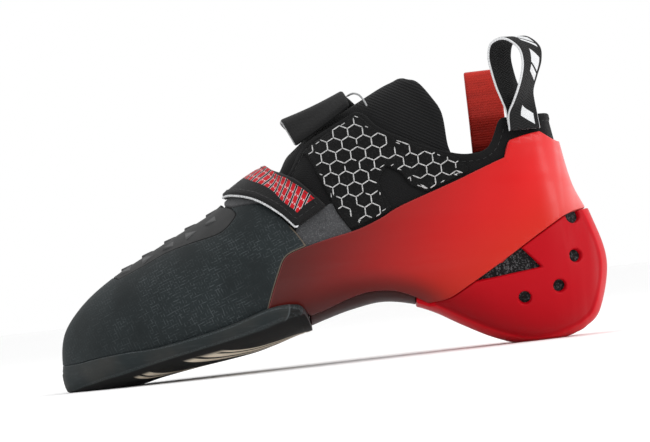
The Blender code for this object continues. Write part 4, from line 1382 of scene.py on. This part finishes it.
class SHOE_OT_upper(ShoeOperator, bpy.types.Operator):
    """Textile upper: one wall, open at throat, collar and underneath."""

    bl_idname = "shoe.upper"
    bl_label = "Upper"

    def make(self, shop):
        """Build the wall with a rolled collar edge."""
        last, wall = shop.last, shop.form.upper_wall
        opening = shop.fields.without(THROAT + [(96.5, 80.1), (96.5, 130.0), (41.5, 130.0)])

        def foot(place, turn, spots, normals):
            row = last.row(place)
            side = np.abs(spots[:, 1] - last.side(row.swing))
            margin = side - last.side(row.half) * (1.0 - LASTING_MARGIN)
            tips = np.maximum(1.0 - place, place - last.end + 0.5) * 0.003
            over = spots[:, 2] - last.up(row.under) - FOOT_TURN
            return np.maximum(np.maximum(margin, over), tips)

        field = shop.fields.all_of(opening, foot)
        half = 0.5 * wall
        levels = cut_levels(half, ROLL_CUTS) + (BINDING_DEPTH, COLLAR_SEAM_DEPTH)
        patch = shop.patch("upper", field, levels)
        swell = half * rounded(patch.depth, half)
        crease = creased(last, patch)
        binding = BINDING_RELIEF * soft_step(patch.depth, COLLAR_SEAM_DEPTH, BINDING_DEPTH)
        spots = last.skin(patch.place, patch.turn)
        binding = binding * soft_step(spots[:, 2], last.up(58.0), last.up(64.0))
        data = shell("upper", patch, swell + binding - half + crease, -half - swell + crease)
        add_piece("upper", data, textile_finish(shop.colours), "upper_textile", ("upper",))
        seam = []
        points = patch.points(crease + 0.1 * MILLIMETRE)
        for line, closed in patch.lines(COLLAR_SEAM_DEPTH):
            if spots[line, 2].mean() > last.up(60.0) and len(line) > 11:
                seam += stitches(points[line], shop.trim, closed)
        thread = plain_thread("collar_thread", toned(3.0, shop.colours.textile))
        add_parts("collar_stitches", seam, thread, "upper_textile")


class SHOE_OT_insole(ShoeOperator, bpy.types.Operator):
    """Insole that lies on the lasting margin."""

    bl_idname = "shoe.insole"
    bl_label = "Insole"

    def make(self, shop):
        """Build the bed with its turned-up edge."""
        last, form = shop.last, shop.form
        top = -form.upper_wall - form.clearance

        def bed(place, turn, spots, normals):
            row = last.row(place)
            rise = last.up(row.under) + form.insole_rise - spots[:, 2]
            return np.where(np.cos(np.radians(turn)) < 0.0, rise, -0.01) * 1.6

        def ends(place, turn, spots, normals):
            return np.minimum(place - 2.0, last.end - 1.0 - place) * 0.004

        edge = CUTS["insole"].edge
        patch = shop.patch("insole", shop.fields.all_of(bed, ends), (0.25 * edge, edge), top)
        swell = 0.5 * form.insole * rounded(patch.depth, edge)
        middle = top - 0.5 * form.insole
        data = shell("insole", patch, middle + swell, middle - swell)
        add_piece("insole", data, board_finish(shop.colours), "insole_board", ("insole",))


class SHOE_OT_tongue(ShoeOperator, bpy.types.Operator):
    """Rib-knit tongue, half a sock round the front of the ankle."""

    bl_idname = "shoe.tongue"
    bl_label = "Tongue"

    def make(self, shop):
        """Build the padded sock and its folded upper edge."""
        last, form = shop.last, shop.form
        top = -form.upper_wall - form.clearance
        half = 0.5 * form.tongue
        field = shop.fields.within(TONGUE_OUTLINE, 0.0)
        patch = shop.patch("tongue", field, cut_levels(half, ROLL_CUTS), top)
        swell = half * rounded(patch.depth, half)
        spots = last.skin(patch.place, patch.turn)
        past = (patch.depth - TONGUE_HEM_DEPTH) / TONGUE_HEM_WIDTH
        hem = TONGUE_HEM_RELIEF * np.exp(-past ** 2)
        folds = TONGUE_FOLDS * np.sin((spots[:, 2] * 0.9 - spots[:, 0]) / TONGUE_FOLD_RUN)
        folds = folds * soft_step(spots[:, 2], last.up(84.0), last.up(96.0))
        above = soft_step(spots[:, 2] - last.up(74.0), 0.0, 0.02)
        relief = (hem + folds) * above * rounded(patch.depth, 0.002)
        crown = soft_step(-np.abs(patch.turn), -34.0, -16.0)
        off = (spots[:, 0] - last.along(BULGE_ALONG)) / BULGE_REACH
        relief += BULGE_RELIEF * crown * np.exp(-off ** 2)
        middle = top - half
        data = shell("tongue", patch, middle + swell + relief, middle - swell)
        tongue = add_piece("tongue", data, knit_finish(shop.colours), "knit", ("tongue",))


class SHOE_OT_outsole(ShoeOperator, bpy.types.Operator):
    """Half sole with its wall rolled up the sides."""

    bl_idname = "shoe.outsole"
    bl_label = "Half sole"

    def make(self, shop):
        """Build the sole: thick underfoot, thin at its wall, with a moulded line."""
        last, form = shop.last, shop.form
        points = SOLE_EDGE + SOLE_END + [(46.0, -3.0), (-6, -3.0)]
        field = shop.fields.within(points)
        edge = CUTS["outsole"].edge
        patch = shop.patch("outsole", field, cut_levels(edge, SOLE_CUTS) + GROOVE_DEPTHS,
                           form.clearance + form.sole_wall, SOLE_SQUARENESS)
        normals = last.normal(patch.place, patch.turn, SOLE_SQUARENESS)
        down = np.maximum(0.0, -normals[:, 2]) ** 2
        full = soft_step(patch.depth, 0.0, THICK_WALL_DEPTH)
        wall = form.rand + (form.sole_wall - form.rand) * full
        thickness = wall + (form.sole - wall) * down
        off = (patch.depth - GROOVE_DEPTHS[1]) / GROOVE_WIDTH
        groove = GROOVE_RELIEF * np.exp(-off ** 2)
        base = np.full(len(patch.depth), form.clearance)
        top = base + thickness * rounded(patch.depth, edge) - groove
        data = shell("outsole", patch, top, base)
        add_piece("outsole", data, sole_finish(shop.colours), "sole_rubber", ("outsole",))


class SHOE_OT_toe(ShoeOperator, bpy.types.Operator):
    """Toe rand, toe patch and the patch's studs."""

    bl_idname = "shoe.toe"
    bl_label = "Toe rubber"

    def make(self, shop):
        """Build the rubber over the toes."""
        fields, form, colours = shop.fields, shop.form, shop.colours
        points = SOLE_EDGE + BAND_FRONT + CAP_REAR + PATCH_EDGE + [(8.9, 75.0), (-6, 75.0)]
        shop.overlay("toe_rand", fields.within(points, -TUCK), form.rand, rand_finish(colours),
                     "rand_rubber")
        points = PATCH_EDGE[::-1] + [(33.9, 59.0), (32.0, 60.2), (31.9, 80.0), (8.9, 80.0)]
        material = patch_finish(colours, "patch_rubber", colours.patch, True)
        shop.overlay("toe_hook_patch", fields.within(points), form.rand, material, "patch_rubber")
        # The studs' paler rubber is a painted highlight for their lit tops.
        self.make_studs(shop, patch_finish(colours, "stud_rubber", colours.stud, False))

    def make_studs(self, shop, material):
        """Wedges whose steep faces point to the toe, in rows that alternate."""
        last, trim = shop.last, shop.trim
        base = shop.form.clearance + shop.form.rand
        parts = []
        for number, (share, spread) in enumerate(STUD_ROWS):
            for turn in (-spread, 0, spread):
                flip = 1.0 if (number + bool(turn)) % 2 else -1.0
                parts.append(self.stud(last, last.place(share), turn, base, trim, flip))
        studs = add_parts("toe_studs", parts, material, "patch_rubber", crease=25.0)
        bevel = studs.modifiers.new("rounded", "BEVEL")
        bevel.width = 0.00025
        bevel.segments = 2
        bevel.limit_method = "ANGLE"

    @staticmethod
    def stud(last, place, turn, base, trim, flip):
        """Points and faces of one wedge on the patch."""
        normal = last.normal([place], [turn])[0]
        middle = last.skin([place], [turn])[0] + normal * base
        ahead = (last.skin([place - 0.2], [turn]) - last.skin([place + 0.2], [turn]))[0]
        ahead /= np.linalg.norm(ahead)
        across = np.cross(normal, ahead)
        corners = ((0.56 * flip, 0.0), (-0.40 * flip, 0.52), (-0.40 * flip, -0.52))
        low = [middle + (ahead * x + across * y) * trim.stud - normal * 0.0009 for x, y in corners]
        crest = []
        for x, y in corners:
            height = trim.stud_height * (0.60 + 0.70 * x)
            crest.append(middle + (ahead * x + across * y) * trim.stud * 0.72 + normal * height)
        faces = [[0, 1, 2], [5, 4, 3], [0, 3, 4, 1], [1, 4, 5, 2], [2, 5, 3, 0]]
        return np.array(low + crest), [face[::-1] for face in faces]


class SHOE_OT_band(ShoeOperator, bpy.types.Operator):
    """Tension band and the rubber under the arch."""

    bl_idname = "shoe.band"
    bl_label = "Tension band"

    def make(self, shop):
        """Build both, with the band's fine ridge above the arch."""
        fields, form, colours = shop.fields, shop.form, shop.colours
        points = (SOLE_EDGE[-1:] + BAND_FRONT + BAND_TOP + [(103.0, 70.0), (103.0, 46.0)]
                  + CUP_TOP[::-1] + BAND_FOOT[::-1] + SOLE_END[2::-1])
        shop.overlay("tension_band", fields.within(points), form.band, band_finish(colours),
                     "band_rubber")
        points = [(46.0, 10.0), (45.9, 17.0)] + BAND_FOOT + [(65.4, 19.0), (65.4, 4.0), (46.0, 4.0)]
        shop.overlay("arch_rand", fields.within(points), form.arch, arch_finish(colours),
                     "arch_rubber")


class SHOE_OT_heel(ShoeOperator, bpy.types.Operator):
    """Moulded heel cup with rim, window and holes."""

    bl_idname = "shoe.heel"
    bl_label = "Heel cup"

    def make(self, shop):
        """Build the cup: a rim stands up along its outer contour."""
        fields, form, trim = shop.fields, shop.form, shop.trim
        last = shop.last
        points = [(65.4, 19.3)] + CUP_TOP + [(103.0, 46.0), (103.0, -4.0), (65.4, -4.0)]
        holes = [fields.outside_hole(share, up, trim.cup_hole) for share, up in CUP_HOLES]
        holes.append(fields.outside_hole(*EDGE_HOLE, trim.edge_hole))
        field = fields.all_of(fields.within(points), fields.without(CUP_WINDOW), *holes)
        rows = [row for row in SECTIONS if row.along > 50.0]
        contour = [(row.along, row.under) for row in rows]
        contour += [(row.along, row.over) for row in reversed(rows[:-1])]

        def inward(patch):
            """Distance in from the heel's contour as seen from the side."""
            return fields.seen_distance(contour, last.skin(patch.place, patch.turn))

        def relief(patch):
            """Raised rim along the contour."""
            rim = trim.cup_rim
            return trim.cup_rim_height * soft_step(inward(patch), rim + 0.0006, rim - 0.0004)

        def weft(patch):
            """Distance in from the contour, for the rim's brighter colour, a painted highlight."""
            return inward(patch) / MILLIMETRE

        material = cup_finish(shop.colours, trim.cup_rim / MILLIMETRE)
        shop.overlay("heel_cup", field, form.cup, material, "heel_rubber", relief=relief, weft=weft)


class SHOE_OT_mesh(ShoeOperator, bpy.types.Operator):
    """Mesh overlays with raised hexagons, one on each side."""

    bl_idname = "shoe.mesh"
    bl_label = "Quarter mesh"

    def make(self, shop):
        """Build the two overlays and the lines on them."""
        fields, form = shop.fields, shop.form
        material = mesh_finish(shop.colours)
        line = plain_thread("hexagon_line", shop.colours.hexagon, 0.45)
        for side, word in ((-1.0, "outer"), (1.0, "inner")):
            field = fields.all_of(fields.within(MESH_OUTLINE), fields.on_side(side))
            shop.overlay(word + "_quarter_mesh", field, form.mesh, material, "hexagon_mesh")
            add_parts(word + "_hexagons", self.hexagons(shop, field, side), line, "hexagon_mesh")

    @staticmethod
    def laid(shop, field, side, flat):
        """Lines drawn as seen from the side, laid on the mesh: points, normals and depths."""
        last = shop.last
        across, up = flat.reshape(-1, 2).T
        place, turn = last.flank((across / last.length + HEEL_SHARE) / PER_CENT,
                                 up / last.instep_height / PER_CENT, side)
        normals = last.normal(place, turn)
        skin = last.skin(place, turn)
        base = shop.form.clearance + shop.form.mesh
        depth = field(place, turn, skin + normals * base, normals)
        lift = base + creased(last, Spots(place, turn, None))
        shape = flat.shape[:2]
        points = skin + normals * lift[:, None]
        return points.reshape(*shape, 3), normals.reshape(*shape, 3), depth.reshape(shape)

    def hexagons(self, shop, field, side):
        """Raised lines of a hexagon grid, broken here and there, with loose dashes at its edge."""
        last, trim = shop.last, shop.trim
        draw = np.random.default_rng(7 if side < 0 else 11)
        corner = np.array([last.along(46.0), last.up(44.0)])
        far = np.array([last.along(80.0), last.up(90.0)])
        radius = trim.hexagon / math.sqrt(3.0)
        shape = np.array([radius, radius * HEXAGON_SQUASH])
        pitch = np.array([trim.hexagon, 1.5 * shape[1]])
        columns, rows = ((far - corner) / pitch).astype(int) + 2
        starts, ends = [], []
        for row in range(rows):
            for column in range(columns):
                middle = corner + pitch * (column + 0.5 * (row % 2), row)
                for angle in np.radians((90.0, 150.0, 210.0)):
                    other = angle + math.pi / 3.0
                    starts.append(middle + shape * (math.cos(angle), math.sin(angle)))
                    ends.append(middle + shape * (math.cos(other), math.sin(other)))
        starts, ends = np.array(starts)[:, None], np.array(ends)[:, None]
        luck = draw.random((3, len(starts), 1))
        short = luck[0] < 0.12
        first = np.where(short & (luck[1] < 0.5), 0.34, 0.0)
        final = np.where(short & (luck[1] >= 0.5), 0.66, 1.0)
        share = (first + (final - first) * np.linspace(0.0, 1.0, 6))[..., None]
        points, normals, depth = self.laid(shop, field, side, starts + share * (ends - starts))
        kept = depth > MESH_BORDER
        whole = (kept.sum(axis=1) > 2) & (luck[0, :, 0] > 0.03)
        whole &= (depth.max(axis=1) > 0.0042) | (luck[2, :, 0] > 0.30)
        parts = [ridge(points[n][kept[n]], normals[n][kept[n]], trim.hexagon_line,
                       trim.hexagon_relief) for n in np.flatnonzero(whole)]
        middle = draw.uniform(corner, far, (DASHES, 2))[:, None]
        angle = np.radians(draw.choice((30.0, 90.0, 150.0), DASHES))
        ahead = np.stack([np.cos(angle), HEXAGON_SQUASH * np.sin(angle)], axis=-1)
        ahead *= draw.uniform(0.0006, 0.0012, (DASHES, 1))
        flat = middle + np.linspace(-1.0, 1.0, 4)[:, None] * ahead[:, None]
        points, normals, depth = self.laid(shop, field, side, flat)
        kept = (depth.min(axis=1) > MESH_BORDER) & (depth.max(axis=1) < DASH_DEPTH)
        parts += [ridge(points[n], normals[n], trim.hexagon_line * 0.8,
                        trim.hexagon_relief * 0.8) for n in np.flatnonzero(kept)]
        return parts


def ridge(line, normals, half, height):
    """Low raised line on a surface, with a rounded back and closed ends."""
    ahead = np.gradient(line, axis=0)
    across = np.cross(normals, ahead)
    across /= np.linalg.norm(across, axis=1, keepdims=True)
    profile = ((-1.0, -0.6), (-0.8, 0.35), (-0.35, 0.85), (0.35, 0.85), (0.8, 0.35), (1.0, -0.6))
    count, sides = len(line), len(profile)
    points = []
    for number in range(count):
        scale = 0.55 if number in (0, count - 1) else 1.0
        for out, rise in profile:
            points.append(line[number] + across[number] * out * half * scale
                          + normals[number] * rise * height)
    faces = [list(range(sides)), [(count - 1) * sides + n for n in reversed(range(sides))]]
    faces += [[b, a, d, c] for a, b, c, d in walls(count, sides)]
    return np.array(points), faces


class SHOE_OT_front_strap(ShoeOperator, bpy.types.Operator):
    """Front strap, its piping and the felt pad under it."""

    bl_idname = "shoe.front_strap"
    bl_label = "Front strap"

    def make(self, shop):
        """Build pad, strap, piping and stitches."""
        fields, form, trim, colours = shop.fields, shop.form, shop.trim, shop.colours
        last = shop.last
        felt = felt_finish(colours)
        shop.overlay("strap_base", fields.within(STRAP_BASE), form.pad, felt, "grey_felt")
        panel = fields.all_of(fields.within(FELT_PANEL), fields.on_side(-1.0))
        shop.overlay("felt_panel", panel, form.panel, felt, "grey_felt", -form.clearance,
                     replaces=False)
        field = fields.morphed(FRONT_STRAP, FRONT_STRAP_INNER, STRAP_CHANGE)
        start = form.clearance * 2.0 + max(form.pad, form.band)
        slope = STRAP_HEM_DEPTH + STRAP_HEM_SLOPE

        def weft(patch):
            """Share of the way from the front edge to the rear edge."""
            spots = last.skin(patch.place, patch.turn)
            front = fields.gap_to(FRONT_STRAP[:5], spots)
            rear = fields.gap_to(FRONT_STRAP[5:10], spots)
            return front / np.maximum(front + rear, 1e-6)

        def relief(patch):
            """Hem that stands a little over the printed middle."""
            return -STRAP_HEM_RELIEF * soft_step(patch.depth, STRAP_HEM_DEPTH, slope)

        patch = shop.overlay("front_strap", field, form.strap,
                             strap_finish(colours, "front_strap_webbing", True), "strap_webbing",
                             start, relief, (STRAP_HEM_DEPTH, slope), weft)
        lift = start + creased(last, patch)
        points = patch.points(lift + 0.45 * form.strap)
        line, _ = max(patch.lines(), key=lambda found: len(found[0]))
        spots = points[line]
        near = fields.gap_to(FRONT_STRAP[:5], spots) < PIPING_REACH
        near |= spots[:, 0] < last.along(33.2)
        near &= spots[:, 1] < last.side(46.0)
        parts = [tube(evenly(run, PIPING_STEP), trim.piping) for run in stretches(spots, near)]
        add_parts("front_piping", parts, plain_thread("piping", colours.piping), "strap_webbing")
        top = patch.points(lift + form.strap)
        seam = []
        for line, closed in patch.lines(STRAP_HEM_DEPTH):
            seam += stitches(top[line], trim, closed)
        thread = plain_thread("strap_thread", toned(3.0, colours.strap))
        add_parts("front_strap_stitches", seam, thread, "strap_webbing")


def stretches(points, kept):
    """Runs of neighbouring points of a closed line that are kept."""
    count = len(points)
    start = next((n for n in range(count) if not kept[n]), 0)
    found, run = [], []
    for step in range(1, count + 1):
        number = (start + step) % count
        if kept[number]:
            run.append(points[number])
        else:
            if len(run) > 4:
                found.append(np.array(run))
            run = []
    if len(run) > 4:
        found.append(np.array(run))
    return found


def stood_off(last, share, turn, gap):
    """Point straight out from the last in its own section, by a distance."""
    place = last.place(share)
    row = last.row(place)
    point = last.skin(place, turn)
    out = point - np.array([point[0], last.side(row.swing), last.up(row.widest)])
    return point + out / np.linalg.norm(out) * gap


class SHOE_OT_upper_strap(ShoeOperator, bpy.types.Operator):
    """Upper strap that arches over the tongue."""

    bl_idname = "shoe.upper_strap"
    bl_label = "Upper strap"

    def make(self, shop):
        """Build the strap, its piping and its keeper."""
        last, form, trim, colours = shop.last, shop.form, shop.trim, shop.colours
        seat = (form.clearance * 2.0 + form.mesh + 0.5 * form.strap) * 1.25
        edges = []
        for values in smooth_rows(UPPER_STRAP, 10):
            row = StrapRow(*values)
            edges.append((stood_off(last, row.front_along, row.front_turn,
                                    seat + last.up(row.front_gap)),
                          stood_off(last, row.rear_along, row.rear_turn,
                                    seat + last.up(row.rear_gap))))
        points, faces, run = ribbon(edges, form.strap, 18, 0.0006)
        data = build_mesh("upper_strap", points, faces, run)
        material = strap_finish(colours, "upper_strap_webbing", False)
        add_piece("upper_strap", data, material, "strap_webbing", ("upper_strap",))
        front = np.array([pair[0] for pair in edges])
        inward = np.array([pair[1] - pair[0] for pair in edges])
        inward /= np.linalg.norm(inward, axis=1, keepdims=True)
        keeper = [stood_off(last, share, turn, seat + gap * MILLIMETRE)
                  for share, turn, gap in KEEPER]
        cords = [tube(evenly(front + inward * 0.0002, PIPING_STEP), trim.piping),
                 tube(smooth_rows(keeper, 4), trim.piping * 0.8)]
        thread = plain_thread("strap_piping", toned(0.5, colours.piping))
        add_parts("upper_strap_piping", cords, thread, "strap_webbing")


def webbing_edges(last, rows, width, direction, steps=9):
    """Edge lines of a webbing swept along its middle line."""
    edges = []
    for values in smooth_rows(rows, steps):
        row = WebRow(*values)
        section = last.row(last.place(row.along))
        up = min(row.up, COLLAR_TOP)
        rise = min(1.0, (up - section.widest) / (section.over - section.widest))
        flank = section.half * (1.0 - rise ** section.top) ** (1.0 / section.top)
        side = direction * (flank + row.off)
        middle = np.array([last.along(row.along), last.side(side), last.up(row.up)])
        turn = math.radians(row.turn)
        half = np.array([math.cos(turn), math.sin(turn), 0.0]) * (0.5 * width)
        edges.append((middle - half, middle + half))
    return edges


class SHOE_OT_pulls(ShoeOperator, bpy.types.Operator):
    """Pull loop and pull tab at the heel."""

    bl_idname = "shoe.pulls"
    bl_label = "Pull loop and tab"

    def make(self, shop):
        """Build both webbings."""
        last, trim, colours = shop.last, shop.trim, shop.colours
        for name, rows, width, direction, material, slot in (
                ("pull_loop", PULL_LOOP, trim.webbing, -1, loop_finish(colours), "loop_webbing"),
                ("pull_tab", PULL_TAB, trim.tab, 1, tab_finish(colours), "red_webbing")):
            edges = webbing_edges(last, rows, width, direction)
            points, faces, run = ribbon(edges, trim.webbing_thickness, 14)
            data = build_mesh(name, points, faces, run)
            add_piece(name, data, material, slot, (name,))


class SHOE_OT_stage(bpy.types.Operator):
    """Pale floor, soft light and the camera at the photograph's angle."""

    bl_idname = "shoe.stage"
    bl_label = "Stage"
    bl_options = {"REGISTER", "UNDO"}

    def execute(self, context):
        settings = context.scene.shoe_stage
        self.add_floor(settings)
        self.add_sky(context.scene, settings)
        self.add_lights(settings)
        self.add_camera(context.scene, settings)
        context.scene.view_settings.view_transform = "Standard"
        return {"FINISHED"}

    @staticmethod
    def add_floor(settings):
        """Wide round floor."""
        mesh = bmesh.new()
        bmesh.ops.create_circle(mesh, cap_ends=True, segments=96, radius=FLOOR_RADIUS)
        data = bpy.data.meshes.new("floor")
        mesh.to_mesh(data)
        mesh.free()
        finish = Finish("floor", 0.9, specular=0.1)
        finish.colour(tuple(settings.floor))
        floor = bpy.data.objects.new("floor", data)
        floor.data.materials.append(finish.material)
        bpy.context.scene.collection.objects.link(floor)

    @staticmethod
    def add_sky(scene, settings):
        """Even pale surroundings."""
        world = bpy.data.worlds.new("surroundings")
        world.use_nodes = True
        background = world.node_tree.nodes["Background"]
        background.inputs["Color"].default_value = (*settings.sky, 1.0)
        background.inputs["Strength"].default_value = 1.0
        scene.world = world

    @staticmethod
    def add_lights(settings):
        """Soft boxes: a key over the heel, a fill in front and one over the top."""
        target = Vector((settings.look_along, 0.0, settings.look_up))
        for name, place, size, power in LAMPS:
            lamp = bpy.data.lights.new(name, "AREA")
            lamp.shape = "RECTANGLE"
            lamp.size, lamp.size_y = size
            lamp.energy = power
            light = bpy.data.objects.new(name, lamp)
            light.location = place
            light.rotation_mode = "QUATERNION"
            light.rotation_quaternion = (target - Vector(place)).to_track_quat("-Z", "Y")
            bpy.context.scene.collection.objects.link(light)

    @staticmethod
    def add_camera(scene, settings):
        """Long lens level with the sole, aimed at the middle of the picture and rolled."""
        target = Vector((settings.look_along, 0.0, settings.look_up))
        low = settings.look_up - settings.camera_height
        back = math.sqrt(settings.distance ** 2 - low ** 2)
        data = bpy.data.cameras.new("camera")
        data.sensor_width = SENSOR_WIDTH
        data.lens = data.sensor_width * settings.distance / settings.frame_width
        camera = bpy.data.objects.new("camera", data)
        camera.location = (settings.look_along, -back, settings.camera_height)
        aim = (target - camera.location).normalized()
        right = aim.cross(Vector((0.0, 0.0, 1.0))).normalized()
        upright = right.cross(aim)
        turned_right = right * math.cos(settings.roll) - upright * math.sin(settings.roll)
        turned_up = right * math.sin(settings.roll) + upright * math.cos(settings.roll)
        camera.rotation_mode = "QUATERNION"
        axes = (turned_right, turned_up, -aim)
        matrix = [[axis[row] for axis in axes] for row in range(3)]
        camera.rotation_quaternion = Matrix(matrix).to_quaternion()
        scene.collection.objects.link(camera)
        scene.camera = camera


OPERATORS = (SHOE_OT_stage, SHOE_OT_upper, SHOE_OT_insole, SHOE_OT_tongue, SHOE_OT_outsole,
             SHOE_OT_toe, SHOE_OT_band, SHOE_OT_heel, SHOE_OT_mesh, SHOE_OT_front_strap,
             SHOE_OT_upper_strap, SHOE_OT_pulls)


class SHOE_PT_panel(bpy.types.Panel):
    """Lists the pieces of the shoe."""

    bl_idname = "SHOE_PT_panel"
    bl_label = "Climbing Shoe"
    bl_space_type = "VIEW_3D"
    bl_region_type = "UI"
    bl_category = "Climbing Shoe"

    def draw(self, context):
        """One button for each operator, then every size and colour under its own name."""
        for operator in OPERATORS:
            self.layout.operator(operator.bl_idname)
        for group in (context.scene.shoe_form, context.scene.shoe_trim, context.scene.shoe_colours,
                      context.scene.shoe_stage):
            box = self.layout.box()
            for name in group.__annotations__:
                box.prop(group, name, text=name.replace("_", " ").capitalize())


GROUPS = {"shoe_form": ShoeFormSizes, "shoe_trim": ShoeTrimSizes, "shoe_colours": ShoeColours,
          "shoe_stage": ShoeStageSettings}


def register():
    """Register the groups, the operators and the panel."""
    for name, group in GROUPS.items():
        bpy.utils.register_class(group)
        setattr(bpy.types.Scene, name, PointerProperty(type=group))
    for operator in OPERATORS:
        bpy.utils.register_class(operator)
    bpy.utils.register_class(SHOE_PT_panel)


def unregister():
    """Take everything off again."""
    bpy.utils.unregister_class(SHOE_PT_panel)
    for operator in reversed(OPERATORS):
        bpy.utils.unregister_class(operator)
    for name, group in GROUPS.items():
        delattr(bpy.types.Scene, name)
        bpy.utils.unregister_class(group)


def main():
    """Make the stage and every piece."""
    register()
    bpy.ops.shoe.stage()
    bpy.ops.shoe.upper()
    bpy.ops.shoe.insole()
    bpy.ops.shoe.tongue()
    bpy.ops.shoe.outsole()
    bpy.ops.shoe.toe()
    bpy.ops.shoe.band()
    bpy.ops.shoe.heel()
    bpy.ops.shoe.mesh()
    bpy.ops.shoe.front_strap()
    bpy.ops.shoe.upper_strap()
    bpy.ops.shoe.pulls()


if __name__ == "__main__":
    main()
